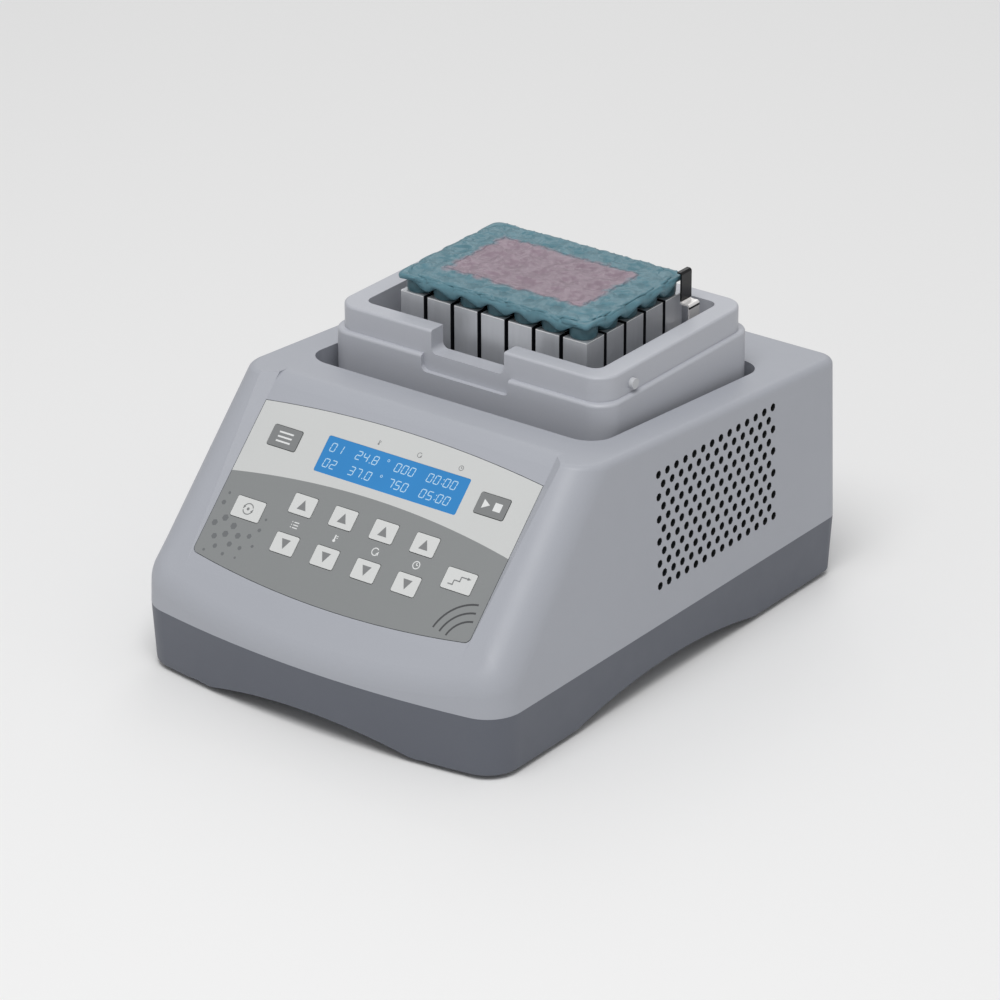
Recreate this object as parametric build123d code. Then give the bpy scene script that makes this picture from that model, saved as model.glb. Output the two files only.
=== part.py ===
from build123d import *
import os
from math import cos, radians, sin, sqrt, tan

# Thermal mixer: a bench instrument that heats or cools a block of microtubes while the block orbits.
# Millimetres. X to the right, Y to the rear, Z up. The origin is on the bench under the middle of the body.

# ---------------------------------------------------------------- driving dimensions
# body
BODY_WIDTH = 204.4  # at the parting line
BODY_DEPTH = 278.0  # at the parting line
FOOT_PROUD = 2.0  # rubber feet below the base
BASE_HEIGHT = 29.0  # base bottom to parting line
REAR_HEIGHT = 110.3  # bench to the top face, at the rear wall
TOP_FALL = 4.15  # degrees, the top face falls to the rear
CREST_BACK = 84.5  # where the sloped panel meets the top face, behind the front
PANEL_ANGLE = 45.2  # degrees from level
CHEEK_ANGLE = 47.9  # degrees from level, slope beside the panel recess
CHEEK_START = -36.0  # panel coordinate where the cheeks start to rise beside the panel
PANEL_ORIGIN_DROP = 63.1  # slope distance from the crest down to the panel's own origin
SIDE_DRAFT = 1.9  # degrees, upper housing
BASE_DRAFT = 3.4  # degrees, base tray
FRONT_BOW_RADIUS = 520.0
FRONT_CORNER_RADIUS = 18.0
REAR_CORNER_RADIUS = 9.0
CHEEK_RADIUS = 15.5
TOP_EDGE_RADIUS = 3.5
WALL = 3.0
FRONT_ARCH = (119.0, 8.0)  # chord and rise of the hand gap under the front and rear
SIDE_ARCH = (147.0, 8.7)  # chord and rise of the gap under each side
ARCH_END_RADIUS = 30.0
LIP_HEIGHT = 2.0  # tray lip inside the housing at the parting line
LIP_WALL = 1.3

# clearances
FIT = 0.3  # between separate mouldings
RUNNING = 0.05  # radial, shaft in its bearing
SCREW_CLEARANCE = 0.1  # radial, shank in its hole

# tray
TRAY_FLOOR_Z = 11.5
FOOT_RADIUS = 9.0
FOOT_HEIGHT = 5.0
FOOT_PAD = 34.0
FOOT_IN = (22.2, 27.0)  # in from the side and from the front or rear
CLOSING_SCREW = (1.9, 3.5, 2.2)  # shank radius, head radius and head height
CLOSING_SCREW_LENGTH = 16.0
BOSS_RADIUS = 4.5
BOSS_BORE = 14.0
BOSS_GAP = 0.5  # between a boss and the chassis plate
FRONT_BOSS_IN = (14.2, 51.0)  # in from the side and the front
REAR_BOSS_IN = (11.2, 55.0)  # in from the side and the rear
INTAKE_SLOT = (34.0, 3.0)  # slots in the tray floor, length and width
INTAKE_COUNT = 7
INTAKE_PITCH = 9.0

# side vents
VENT_HOLE_RADIUS = 2.0
VENT_COLUMNS = 14
VENT_ROWS = 6
VENT_PITCH_Y = 7.0
VENT_PITCH_Z = 10.88
VENT_CENTRE = (37.5, 77.0)  # Y, Z

# panel
OVERLAY_WIDTH = 155.6
OVERLAY_TOP = (48.5, 53.4)  # panel coordinate of the top edge, at the corners and in the middle
OVERLAY_BOTTOM = (-28.5, -34.9)
OVERLAY_CORNER = 3.0
OVERLAY_THICKNESS = 0.8
RECESS_FLARE = 1.41  # sideways run of the recess walls for each mm of height
CREST_RADIUS = 12.0  # between the recess floor and the top face
LCD_WINDOW = (79.4, 17.6)
LCD_CENTRE = (2.65, 32.8)
LCD_LEDGE = 1.3
ARROW_KEY = (12.7, 9.5)
ARROW_KEY_PITCH = 22.85
ARROW_KEY_FIRST = -33.4
ARROW_KEY_ROWS = {"up": 6.9, "down": -12.6}
ARROW_KEY_NAMES = ("program", "temperature", "speed", "time")
WIDE_KEY = (16.0, 10.0)
WIDE_KEYS = {
    "menu": (-58.9, 34.1),
    "start_stop": (58.5, 32.9),
    "quick_mix": (-59.9, -2.5),
    "multi_step": (59.6, -3.7),
}
KEY_CORNER = 0.9
KEY_PROUD = 0.25
KEY_THICKNESS = 1.1
KEY_TRAVEL = 0.4
KEY_STEM_RADIUS = 2.0
KEYPAD_DEPTH = 9.0  # panel face to the keypad board
BOARD_THICKNESS = 1.6

# orbit drive
MIX_Y = 40.0  # middle of the platform, at rest
ORBIT_RADIUS = 1.5
CHASSIS_Z = 18.5
CHASSIS_THICKNESS = 2.0
CHASSIS_IN = (31.0, 41.0)  # front and rear edges, in from the body's
CHASSIS_SCREW_IN = (9.0, 7.0)  # in from the plate's side, and from its front and rear
CHASSIS_SCREW_MIDDLE = 100.0  # middle screws behind the plate's front
M3 = (1.5, 3.0, 2.0)  # shank radius, head radius and head height
M3_LOW = (1.5, 2.4, 1.2)  # the same with a low head
M3_PILOT = 1.6
M3_HOLE = 1.7
DECK_Z = 64.0
DECK_THICKNESS = 6.0
DECK_HALF = (58.0, 54.0)
PILLAR_RADIUS = 5.0
PILLAR_PLACE = (50.0, 46.0)
MOTOR_RADIUS = 30.0
MOTOR_HEIGHT = 38.0
MOTOR_BOSS_RADIUS = 12.0
SHAFT_RADIUS = 4.0
HUB_RADIUS = 12.0
HUB_Z = 72.0
HUB_HEIGHT = 10.0
COUNTERWEIGHT_RADIUS = 34.0
COUNTERWEIGHT_THICKNESS = 7.0
IDLER_PLACE = (44.0, 32.0)
IDLER_PIN_RADIUS = 2.5
IDLER_DISC_RADIUS = 7.0
IDLER_DISC_HEIGHT = 4.5
BIG_BEARING = (11.0, 7.0)  # outer radius and width
SMALL_BEARING = (8.0, 5.0)
SHOULDER = 1.5  # under a bearing's outer ring
MOTOR_SCREW_PLACE = (14.5, 14.5)
PLATFORM_Z = 84.0
PLATFORM_THICKNESS = 8.0
PLATFORM_HALF = (62.0, 50.0)

# thermal stack on the platform
SINK_HALF = (50.0, 37.0)
SINK_HEIGHT = 16.0
SINK_BASE = 3.5
SINK_FIN = 1.2
SINK_FIN_COUNT = 13
SINK_RAIL = 5.0
PELTIER = (40.0, 3.6)
PELTIER_X = 23.0
TRANSFER_THICKNESS = 4.0

# heating block and tubes
COLUMNS = 7
ROWS = 5
PITCH = 15.3
SLOT = 2.2
BLOCK_HEIGHT = 36.0
SLOT_DEPTH = 28.0
HOLE_RADIUS = 5.5
HOLE_DEPTH = 32.5
TUBE_BODY = 31.0  # length of a tube below its collar
TUBE_TIP_RADIUS = 1.8
TUBE_FIT = 0.15
COLLAR_RADIUS = (5.9, 6.5)
COLLAR_HEIGHT = 5.6
LID_GAP = 0.7  # between the soft square lids
LID_CORNER = 5.0
LID_HEIGHT = 4.3
LOCATING_PIN = (2.0, 4.0)

# surround that orbits with the block
SURROUND_TOP = 145.9
SURROUND_FLOOR_Z = 104.0
SURROUND_SKIRT_Z = 103.0
SURROUND_LEDGE_Z = 134.0
SURROUND_NOTCH_Z = 134.7
SURROUND_LEDGE_NOTCH_Z = 126.0
SURROUND_LOWER = (78.3, 58.7)  # half sizes
SURROUND_UPPER = (76.1, 56.2)
SURROUND_OPENING = (66.0, 47.3)
SURROUND_CORNER = 11.0
SURROUND_OPENING_CORNER = 5.0
SURROUND_WALL = 2.5
NOTCH_HALF = 20.5
LEDGE_NOTCH_HALF = 24.5
STUD = (2.5, 2.4)  # radius and length of the lid studs
STUD_PLACE = (-36.0, 138.5)  # Y from the middle, and Z
POST_PLACE = (57.6, 43.0)  # from the middle of the platform
POST_RADIUS = 4.0

# well in the housing round the surround
WELL_HALF_WIDTH = 82.2
WELL_Y = (-32.0, 103.0)
WELL_CORNER = 13.0
WELL_FLOOR_Z = 97.0
WELL_LIP_HEIGHT = 7.0
WELL_LIP = 2.0
WELL_LIP_HALF = (70.7, 52.0)

# clip
CLIP_Y = 75.0
CLIP_WIDTH = 8.0
CLIP_STRIP = 0.8
CLIP_PIVOT = (56.3, 127.0)  # X, Z
CLIP_PIN_RADIUS = 1.2
CLIP_BARREL_RADIUS = 2.2
CLIP_TAB_X = 60.6
CLIP_TAB_Z = (137.5, 148.6)
CLIP_HOOK_Z = 163.4

# rear wall
REAR_PARTS_Z = 62.0
REAR_RECESS = (68.0, 42.0, 4.0)  # across, up and deep
REAR_RECESS_X = 44.0
INLET_X = 30.0
INLET_BODY = (27.0, 31.0, 24.0)
INLET_FLANGE = (32.0, 36.0, 2.0)
SOCKET = (24.0, 16.4, 17.0)
SOCKET_RISE = 5.0
DRAWER = (21.6, 6.6, 16.0)
DRAWER_DROP = 10.0
DRAWER_TRAVEL = 18.0
FUSE = (2.6, 20.0)
SWITCH_X = 66.0
SWITCH_BODY = (13.4, 19.6, 18.0)
SWITCH_FLANGE = (16.0, 23.0, 1.8)
ROCKER_RADIUS = 8.3
ROCKER_WIDTH = 10.4
ROCKER_TILT = 8.0

# fan
FAN_SIZE = 60.0
FAN_DEPTH = 25.0
FAN_Y = 37.5
FAN_IN = 31.3  # mounting face, in from the side of the body
FAN_HEADROOM = 1.0  # below the platform
FAN_BORE = 28.5
FAN_HUB = 12.0
FAN_BLADES = 7
BRACKET_THICKNESS = 1.5

# ---------------------------------------------------------------- derived dimensions
PARTING_Z = FOOT_PROUD + BASE_HEIGHT
HALF_W = BODY_WIDTH / 2
HALF_D = BODY_DEPTH / 2
CREST_Y = CREST_BACK - HALF_D
FOOT_PLACE = (HALF_W - FOOT_IN[0], HALF_D - FOOT_IN[1])
FRONT_BOSS = (HALF_W - FRONT_BOSS_IN[0], FRONT_BOSS_IN[1] - HALF_D)
REAR_BOSS = (HALF_W - REAR_BOSS_IN[0], HALF_D - REAR_BOSS_IN[1])
CHASSIS_HALF_WIDTH = FRONT_BOSS[0] - BOSS_RADIUS - BOSS_GAP
CHASSIS_Y = (CHASSIS_IN[0] - HALF_D, HALF_D - CHASSIS_IN[1])
REAR_FACE = HALF_D - REAR_RECESS[2]  # face that the inlet and switch sit in
MOTOR_Y = MIX_Y - ORBIT_RADIUS  # the platform rests at the rear of its orbit
BLOCK_Z = PLATFORM_Z + PLATFORM_THICKNESS + SINK_HEIGHT + PELTIER[1] + TRANSFER_THICKNESS
BLOCK_TOP = BLOCK_Z + BLOCK_HEIGHT
BLOCK_SIZE = (COLUMNS * PITCH - SLOT, ROWS * PITCH - SLOT)
FAN_X = HALF_W - FAN_IN
FAN_Z = PLATFORM_Z - FAN_HEADROOM - FAN_SIZE / 2
LOW = (Align.CENTER, Align.CENTER, Align.MIN)


def top_z(y, inset=0.0):
    """Height of the top face at y, moved in by inset."""
    return REAR_HEIGHT + (HALF_D - y) * tan(radians(TOP_FALL)) - inset / cos(radians(TOP_FALL))


CREST_Z = top_z(CREST_Y)
SLOPE = radians(PANEL_ANGLE)
PANEL = Plane(
    origin=(0, CREST_Y - PANEL_ORIGIN_DROP * cos(SLOPE), CREST_Z - PANEL_ORIGIN_DROP * sin(SLOPE)),
    x_dir=(1, 0, 0),
    z_dir=(0, -sin(SLOPE), cos(SLOPE)),
)  # x across, y up the slope, z out of the panel
CHEEK_FOOT = PANEL.from_local_coords(Vector(0, CHEEK_START, 0))


def cheek_z(y, inset=0.0):
    """Height of the sloped cheeks at y, moved in by inset."""
    slope = radians(CHEEK_ANGLE)
    return CHEEK_FOOT.Z + (y - CHEEK_FOOT.Y) * tan(slope) - inset / cos(slope)


def brick(size, x=0.0, y=0.0, z=0.0):
    """A box with the middle of its bottom face at x, y, z."""
    return Pos(x, y, z) * Box(*size, align=LOW)


def rod(radius, height, x=0.0, y=0.0, z=0.0):
    """An upright cylinder with the middle of its bottom face at x, y, z."""
    return Pos(x, y, z) * Cylinder(radius, height, align=LOW)


def plate(half, height, corner, y=0.0, z=0.0):
    """A slab with round corners, of the given half sizes, with its bottom at z."""
    return Pos(0, y, z) * extrude(RectangleRounded(2 * half[0], 2 * half[1], corner), height)


def four(place, y=0.0):
    """The four places at plus and minus place about y."""
    return [(sx * place[0], y + sy * place[1]) for sx in (-1, 1) for sy in (-1, 1)]


def grown(half, amount):
    return tuple(h + amount for h in half)


def screws(places, size, length, z, up=True):
    """Pan-head screws whose heads sit on z and whose shanks run away from them."""
    radius, head_radius, head_height = size
    turn = Rot(0, 0, 0) if up else Rot(180, 0, 0)
    one = rod(radius, length, z=-length) + rod(head_radius, head_height)
    return [Pos(x, y, z) * turn * one for x, y in places]


def write(name, *shapes):
    """Writes the solids of one sub-part to parts/NAME.step."""
    solids = [s for shape in shapes for s in shape.solids()]
    whole = solids[0] if len(solids) == 1 else Compound(children=solids)
    export_step(whole, f"parts/{name}.step")


# ---------------------------------------------------------------- housing form
def plan_outline(inset=0.0, rear=HALF_D):
    """Body outline at the parting line: bowed front, round front corners, rear edge at rear."""
    half, front = HALF_W - inset, -HALF_D + inset
    bow = FRONT_BOW_RADIUS - sqrt(FRONT_BOW_RADIUS**2 - half**2)
    left, right = (-half, front + bow), (half, front + bow)
    edges = ThreePointArc(left, (0, front), right) + Polyline(right, (half, rear), (-half, rear), left)
    outline = make_face(edges)
    return fillet(outline.vertices().sort_by(Axis.Y)[:2], FRONT_CORNER_RADIUS - inset)


def housing_form(inset=0.0):
    """The outer form of the upper housing, or the same form moved in by a wall."""
    rear = HALF_D - inset
    blank = Pos(0, 0, PARTING_Z) * plan_outline(inset, HALF_D + 2 * WALL)
    drafted = extrude(blank, CREST_Z, taper=SIDE_DRAFT)
    low = PARTING_Z - WALL if inset else PARTING_Z
    if inset:
        drafted += extrude(blank, -WALL)
    crest = (top_z(0, inset) - cheek_z(0, inset)) / (tan(radians(CHEEK_ANGLE)) + tan(radians(TOP_FALL)))
    toe = CHEEK_FOOT.Y + (low - cheek_z(CHEEK_FOOT.Y, inset)) / tan(radians(CHEEK_ANGLE))
    side = Polyline(
        (rear, low), (rear, top_z(rear, inset)), (crest, top_z(crest, inset)), (toe, low), close=True
    )
    form = drafted & extrude(Plane.YZ * make_face(side), HALF_W * 2, both=True)
    upright = [e for e in form.edges() if e.center().Y > rear - 0.5 and abs(e.center().X) > HALF_W / 2
               and abs(e.tangent_at(0.5).Z) > 0.9]
    form = fillet(upright, REAR_CORNER_RADIUS - inset)
    cheek_out = Vector(0, -sin(radians(CHEEK_ANGLE)), cos(radians(CHEEK_ANGLE)))
    slope = max(form.faces(), key=lambda f: f.normal_at().dot(cheek_out) * (f.geom_type == GeomType.PLANE))
    rim = [e for e in slope.edges() if e.center().Z < top_z(crest, inset) - 1]
    form = fillet(rim, CHEEK_RADIUS - inset)
    if TOP_EDGE_RADIUS - inset > 1:
        top = form.faces().sort_by(Axis.Z)[-1]
        form = fillet(top.edges(), TOP_EDGE_RADIUS - inset)
    return form


# ---------------------------------------------------------------- upper housing
def key_places():
    """Name, panel place and cap size of every key."""
    keys = []
    for column, name in enumerate(ARROW_KEY_NAMES):
        for way, row in ARROW_KEY_ROWS.items():
            keys.append((f"{name}_{way}", (ARROW_KEY_FIRST + column * ARROW_KEY_PITCH, row), ARROW_KEY))
    for name, place in WIDE_KEYS.items():
        keys.append((name, place, WIDE_KEY))
    return keys


def on_panel(sketch, place=(0, 0), low=0.0, high=1.0):
    """Extrudes a sketch drawn on the panel from height low to height high above its face."""
    return PANEL * Pos(place[0], place[1], low) * extrude(sketch, high - low)


def cap_outline(size, gap=0.0):
    return RectangleRounded(size[0] + 2 * gap, size[1] + 2 * gap, KEY_CORNER + gap)


def overlay_outline(gap=0.0):
    """The membrane's outline: straight sides, bowed top and bottom edges, round lower corners."""
    half = OVERLAY_WIDTH / 2 + gap
    top = [v + gap for v in OVERLAY_TOP]
    bottom = [v - gap for v in OVERLAY_BOTTOM]
    edges = ThreePointArc((-half, bottom[0]), (0, bottom[1]), (half, bottom[0]))
    edges += Line((half, bottom[0]), (half, top[0]))
    edges += ThreePointArc((half, top[0]), (0, top[1]), (-half, top[0]))
    edges += Line((-half, top[0]), (-half, bottom[0]))
    outline = make_face(edges)
    return fillet(outline.vertices().sort_by(Axis.Y)[:2], OVERLAY_CORNER)


def crest_cut():
    """What a round of CREST_RADIUS takes off the sharp edge between the recess floor and the top face."""
    fall = radians(TOP_FALL)
    half_turn = (SLOPE + fall) / 2
    crest = Vector(CREST_Y, CREST_Z)
    reach = CREST_RADIUS * tan(half_turn)
    rear = crest + Vector(cos(fall), -sin(fall)) * reach
    front = crest - Vector(cos(SLOPE), sin(SLOPE)) * reach
    inward = ((rear + front) * 0.5 - crest).normalized()
    middle = crest + inward * (CREST_RADIUS / cos(half_turn) - CREST_RADIUS)
    wedge = make_face(Polyline(front, crest, rear) + ThreePointArc(rear, middle, front))
    return extrude(Plane.YZ * wedge, OVERLAY_WIDTH / 2 + FIT, both=True)


def vent_holes():
    """Two interleaved grids of round ventilation holes, drawn as eight-sided rods along X."""
    wide = [((i - (VENT_COLUMNS - 1) / 2) * VENT_PITCH_Y, (j - (VENT_ROWS - 1) / 2) * VENT_PITCH_Z)
            for i in range(VENT_COLUMNS) for j in range(VENT_ROWS)]
    narrow = [((i - (VENT_COLUMNS - 2) / 2) * VENT_PITCH_Y, (j - (VENT_ROWS - 2) / 2) * VENT_PITCH_Z)
              for i in range(VENT_COLUMNS - 1) for j in range(VENT_ROWS - 1)]
    hole = Rot(0, 0, 22.5) * RegularPolygon(VENT_HOLE_RADIUS, 8)
    pattern = Sketch() + [Pos(VENT_CENTRE[0] + y, VENT_CENTRE[1] + z) * hole for y, z in wide + narrow]
    return Pos(HALF_W - 4 * WALL, 0, 0) * extrude(Plane.YZ * pattern, 6 * WALL)


def upper_housing():
    form = housing_form()
    backing = OVERLAY_THICKNESS + WALL
    below_panel = PANEL * Pos(0, 0, -backing - BODY_DEPTH / 2) * Box(BODY_DEPTH, 2 * BODY_DEPTH, BODY_DEPTH)
    shell = form - (housing_form(WALL) & below_panel)

    # the well and its floor hang from the top face
    well_half = (WELL_HALF_WIDTH, (WELL_Y[1] - WELL_Y[0]) / 2)
    well_y = (WELL_Y[0] + WELL_Y[1]) / 2
    floor_under = WELL_FLOOR_Z - WALL
    tank = plate(grown(well_half, WALL), CREST_Z, WELL_CORNER + WALL, well_y, floor_under)
    shell += tank & form
    shell -= plate(well_half, CREST_Z, WELL_CORNER, well_y, WELL_FLOOR_Z)
    lip = plate(grown(WELL_LIP_HALF, WELL_LIP), WELL_LIP_HEIGHT + WALL, SURROUND_CORNER, MOTOR_Y, floor_under)
    shell += lip
    shell -= plate(WELL_LIP_HALF, CREST_Z, SURROUND_CORNER - WELL_LIP, MOTOR_Y, floor_under - 1)

    # screw bosses down to the tray
    boss_low = TRAY_FLOOR_Z + WALL + BOSS_RADIUS + FIT
    for place in (FRONT_BOSS, REAR_BOSS):
        for side in (-1, 1):
            boss = rod(BOSS_RADIUS, CREST_Z, side * place[0], place[1], boss_low)
            shell += boss & form
            bore = rod(CLOSING_SCREW[0] + SCREW_CLEARANCE, BOSS_BORE, side * place[0], place[1], boss_low - 1)
            shell -= bore

    # recess for the panel, and the membrane's bed in it
    foot = OVERLAY_WIDTH / 2 + FIT
    rise = CHEEK_RADIUS
    flare = foot + rise * RECESS_FLARE
    recess = make_face(Polyline((-foot, 0), (foot, 0), (flare, rise), (-flare, rise), close=True))
    across = Plane(origin=PANEL.from_local_coords(Vector(0, 2 * CHEEK_START, 0)), x_dir=(1, 0, 0),
                   z_dir=PANEL.y_dir)
    shell -= across * Rot(0, 0, 180) * extrude(recess, 2 * PANEL_ORIGIN_DROP - CHEEK_START * 2)
    shell -= crest_cut()
    shell -= on_panel(overlay_outline(FIT), low=-OVERLAY_THICKNESS, high=1)

    # key pockets and stem holes, display window
    cap_low = KEY_PROUD - KEY_THICKNESS
    for _, place, size in key_places():
        pocket = cap_low - KEY_TRAVEL - FIT / 2
        shell -= on_panel(cap_outline(size, FIT), place, pocket, 0)
        shell -= on_panel(Circle(KEY_STEM_RADIUS + FIT), place, -backing - 1, 0)
    window = RectangleRounded(LCD_WINDOW[0] - 2 * LCD_LEDGE, LCD_WINDOW[1] - 2 * LCD_LEDGE, 1)
    shell -= on_panel(window, LCD_CENTRE, -backing - 1, 0)
    for x, y in BOARD_POSTS + DISPLAY_POSTS:
        post = on_panel(Circle(2.6), (x, y), -KEYPAD_DEPTH, -backing + WALL / 2)
        shell += post - on_panel(Circle(1.1), (x, y), -KEYPAD_DEPTH - 1, -backing)

    # side vents, rear cut-outs, and the rebate over the tray's lip
    shell -= vent_holes()
    across, up, deep = REAR_RECESS
    pocket = Pos(REAR_RECESS_X, 0, REAR_PARTS_Z)
    shell += form & pocket * Pos(0, REAR_FACE, 0) * Box(across + 2 * WALL, 2 * WALL, up + 2 * WALL)
    mouth = extrude(Plane.XZ * RectangleRounded(across, up, WALL), -2 * deep)
    shell -= pocket * Pos(0, REAR_FACE, 0) * mouth
    shell -= rear_box((INLET_BODY[0] + FIT, INLET_BODY[1] + FIT), INLET_X)
    shell -= rear_box((SWITCH_BODY[0] + FIT, SWITCH_BODY[1] + FIT), SWITCH_X)
    outline = plan_outline(WALL - LIP_WALL - FIT)
    shell -= Pos(0, 0, PARTING_Z) * extrude(outline, LIP_HEIGHT + FIT)
    return shell


def rear_box(size, x):
    """A box through the rear wall, size across and up."""
    return Pos(x, REAR_FACE - WALL / 2, REAR_PARTS_Z) * Box(size[0], 3 * WALL, size[1])


# ---------------------------------------------------------------- base tray
def tray_outline(inset=0.0):
    outline = plan_outline(inset, HALF_D - inset)
    return fillet(outline.vertices().sort_by(Axis.Y)[-2:], REAR_CORNER_RADIUS - inset)


def arch(chord_rise, depth):
    """A flat-topped void of one shallow arc with soft ends, drawn in XZ and run along Y."""
    chord, rise = chord_rise
    radius = (chord**2 / 4 + rise**2) / (2 * rise)
    disc = Pos(0, FOOT_PROUD + rise - radius) * Circle(radius)
    slab = Pos(0, FOOT_PROUD - rise / 2) * Rectangle(2 * chord, rise)
    above = Pos(0, FOOT_PROUD + rise / 2) * Rectangle(2 * chord, 2 * rise)
    shape = slab + (disc & above)
    ends = [v for v in shape.vertices() if abs(v.Y - FOOT_PROUD) < 0.01 and abs(v.X) < chord * 0.6]
    shape = fillet(ends, ARCH_END_RADIUS)
    return extrude(Plane.XZ * shape, depth, both=True)


def base_tray():
    blank = Pos(0, 0, PARTING_Z) * tray_outline()
    tray = extrude(blank, -BASE_HEIGHT, taper=BASE_DRAFT)
    tray = fillet(tray.faces().sort_by(Axis.Z)[0].outer_wire().edges(), 1.5)
    inside = extrude(Pos(0, 0, PARTING_Z) * tray_outline(WALL), -BASE_HEIGHT - 1, taper=BASE_DRAFT)
    hollow = inside - brick((BODY_WIDTH, BODY_DEPTH, WALL), z=TRAY_FLOOR_Z)
    for x, y in four(FOOT_PLACE):
        hollow -= brick((FOOT_PAD, FOOT_PAD, TRAY_FLOOR_Z), x, y, FOOT_PROUD)
    tray -= hollow
    tray -= arch(FRONT_ARCH, BODY_DEPTH)
    tray -= Rot(0, 0, 90) * arch(SIDE_ARCH, BODY_DEPTH)
    for x, y in four(FOOT_PLACE):
        tray -= rod(FOOT_RADIUS + FIT, FOOT_HEIGHT, x, y)

    # lip inside the housing, bosses for the chassis plate and the closing screws
    outside, inside = tray_outline(WALL - LIP_WALL), tray_outline(WALL)
    ring = extrude(outside, LIP_HEIGHT + WALL) - extrude(inside, LIP_HEIGHT + WALL)
    tray += Pos(0, 0, PARTING_Z - WALL) * ring
    floor_top = TRAY_FLOOR_Z + WALL
    for x, y in chassis_screw_places():
        tray += rod(BOSS_RADIUS, CHASSIS_Z - floor_top, x, y, floor_top)
        tray -= rod(M3_PILOT, CHASSIS_Z, x, y, TRAY_FLOOR_Z + 1)
    for place in (FRONT_BOSS, REAR_BOSS):
        for side in (-1, 1):
            x, y = side * place[0], place[1]
            tray += rod(BOSS_RADIUS, BOSS_RADIUS, x, y, floor_top)
            tray -= rod(CLOSING_SCREW[0] + SCREW_CLEARANCE, CHASSIS_Z, x, y, TRAY_FLOOR_Z - 1)
    slots = [Pos(0, (i - (INTAKE_COUNT - 1) / 2) * INTAKE_PITCH) for i in range(INTAKE_COUNT)]
    for slot in slots:
        tray -= slot * Pos(0, MIX_Y, TRAY_FLOOR_Z - 1) * extrude(SlotOverall(*INTAKE_SLOT), WALL + 2)
    return tray


def chassis_screw_places():
    x = CHASSIS_HALF_WIDTH - CHASSIS_SCREW_IN[0]
    front, rear = CHASSIS_Y[0] + CHASSIS_SCREW_IN[1], CHASSIS_Y[1] - CHASSIS_SCREW_IN[1]
    return [(side * x, y) for y in (front, CHASSIS_Y[0] + CHASSIS_SCREW_MIDDLE, rear) for side in (-1, 1)]


def closing_screw_places():
    return [(side * x, y) for x, y in (FRONT_BOSS, REAR_BOSS) for side in (-1, 1)]


def rubber_feet():
    foot = rod(FOOT_RADIUS, FOOT_HEIGHT)
    foot = chamfer(foot.faces().sort_by(Axis.Z)[0].edges(), 1)
    return [Pos(x, y, 0) * foot for x, y in four(FOOT_PLACE)]


# ---------------------------------------------------------------- panel pieces
BOARD_POSTS = [(-66.0, 8.0), (66.0, 8.0), (-22.0, -20.5), (24.0, -20.5)]
DISPLAY_POSTS = [(LCD_CENTRE[0] + sx * 44, LCD_CENTRE[1] + sy * 13) for sx in (-1, 1) for sy in (-1, 1)]


def panel_overlay():
    sheet = on_panel(overlay_outline(), low=-OVERLAY_THICKNESS, high=0)
    for _, place, size in key_places():
        sheet -= on_panel(cap_outline(size, FIT), place, -OVERLAY_THICKNESS - 1, 1)
    lens = RectangleRounded(LCD_WINDOW[0] + FIT, LCD_WINDOW[1] + FIT, 1)
    return sheet - on_panel(lens, LCD_CENTRE, -OVERLAY_THICKNESS - 1, 1)


def display_window():
    return on_panel(RectangleRounded(*LCD_WINDOW, 1), LCD_CENTRE, -OVERLAY_THICKNESS, 0)


def display_module():
    """Circuit board, metal bezel, and the glass that stands up into the housing's window."""
    board = on_panel(Rectangle(96, 32), LCD_CENTRE, -KEYPAD_DEPTH - BOARD_THICKNESS, -KEYPAD_DEPTH)
    bezel_top = -OVERLAY_THICKNESS - WALL - FIT
    bezel = on_panel(Rectangle(82, 20), LCD_CENTRE, -KEYPAD_DEPTH, bezel_top)
    glass_size = [v - 2 * LCD_LEDGE - 2 * FIT for v in LCD_WINDOW]
    glass = on_panel(Rectangle(*glass_size), LCD_CENTRE, bezel_top, -OVERLAY_THICKNESS - FIT)
    return board + bezel + glass


def key(place, size):
    """Flat cap with a round stem that reaches through the housing to its switch."""
    low = KEY_PROUD - KEY_THICKNESS
    cap = on_panel(cap_outline(size), place, low, KEY_PROUD)
    return cap + on_panel(Circle(KEY_STEM_RADIUS), place, STEM_END, low)


STEM_END = -OVERLAY_THICKNESS - WALL - 1.0


def keypad_board():
    """U-shaped board under the keys, with a tactile switch under every stem."""
    lower = Pos(0, -3.5) * Rectangle(141, 38)
    arms = [Pos(side * 61.5, 24) * Rectangle(18, 40) for side in (-1, 1)]
    outline = lower + arms
    board = on_panel(outline, low=-KEYPAD_DEPTH - BOARD_THICKNESS, high=-KEYPAD_DEPTH)
    button = STEM_END - KEY_TRAVEL - RUNNING
    for _, place, _ in key_places():
        board += on_panel(Rectangle(6, 6), place, -KEYPAD_DEPTH, button - 0.6)
        board += on_panel(Circle(1.6), place, button - 0.6, button)
    return board


# ---------------------------------------------------------------- chassis and deck
def chassis_plate():
    depth = CHASSIS_Y[1] - CHASSIS_Y[0]
    half = (CHASSIS_HALF_WIDTH, depth / 2)
    sheet = plate(half, CHASSIS_THICKNESS, 4, (CHASSIS_Y[0] + CHASSIS_Y[1]) / 2, CHASSIS_Z)
    for x, y in chassis_screw_places():
        sheet -= rod(M3_HOLE, 10, x, y, CHASSIS_Z - 5)
    window = (INTAKE_SLOT[0] + INTAKE_PITCH, INTAKE_PITCH * INTAKE_COUNT, 4 * CHASSIS_THICKNESS)
    sheet -= brick(window, 0, MIX_Y, CHASSIS_Z - CHASSIS_THICKNESS)
    for x, y in STANDOFFS:
        sheet += rod(STANDOFF_RADIUS, STANDOFF_HEIGHT, x, y, CHASSIS_Z + CHASSIS_THICKNESS)
    return sheet


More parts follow.
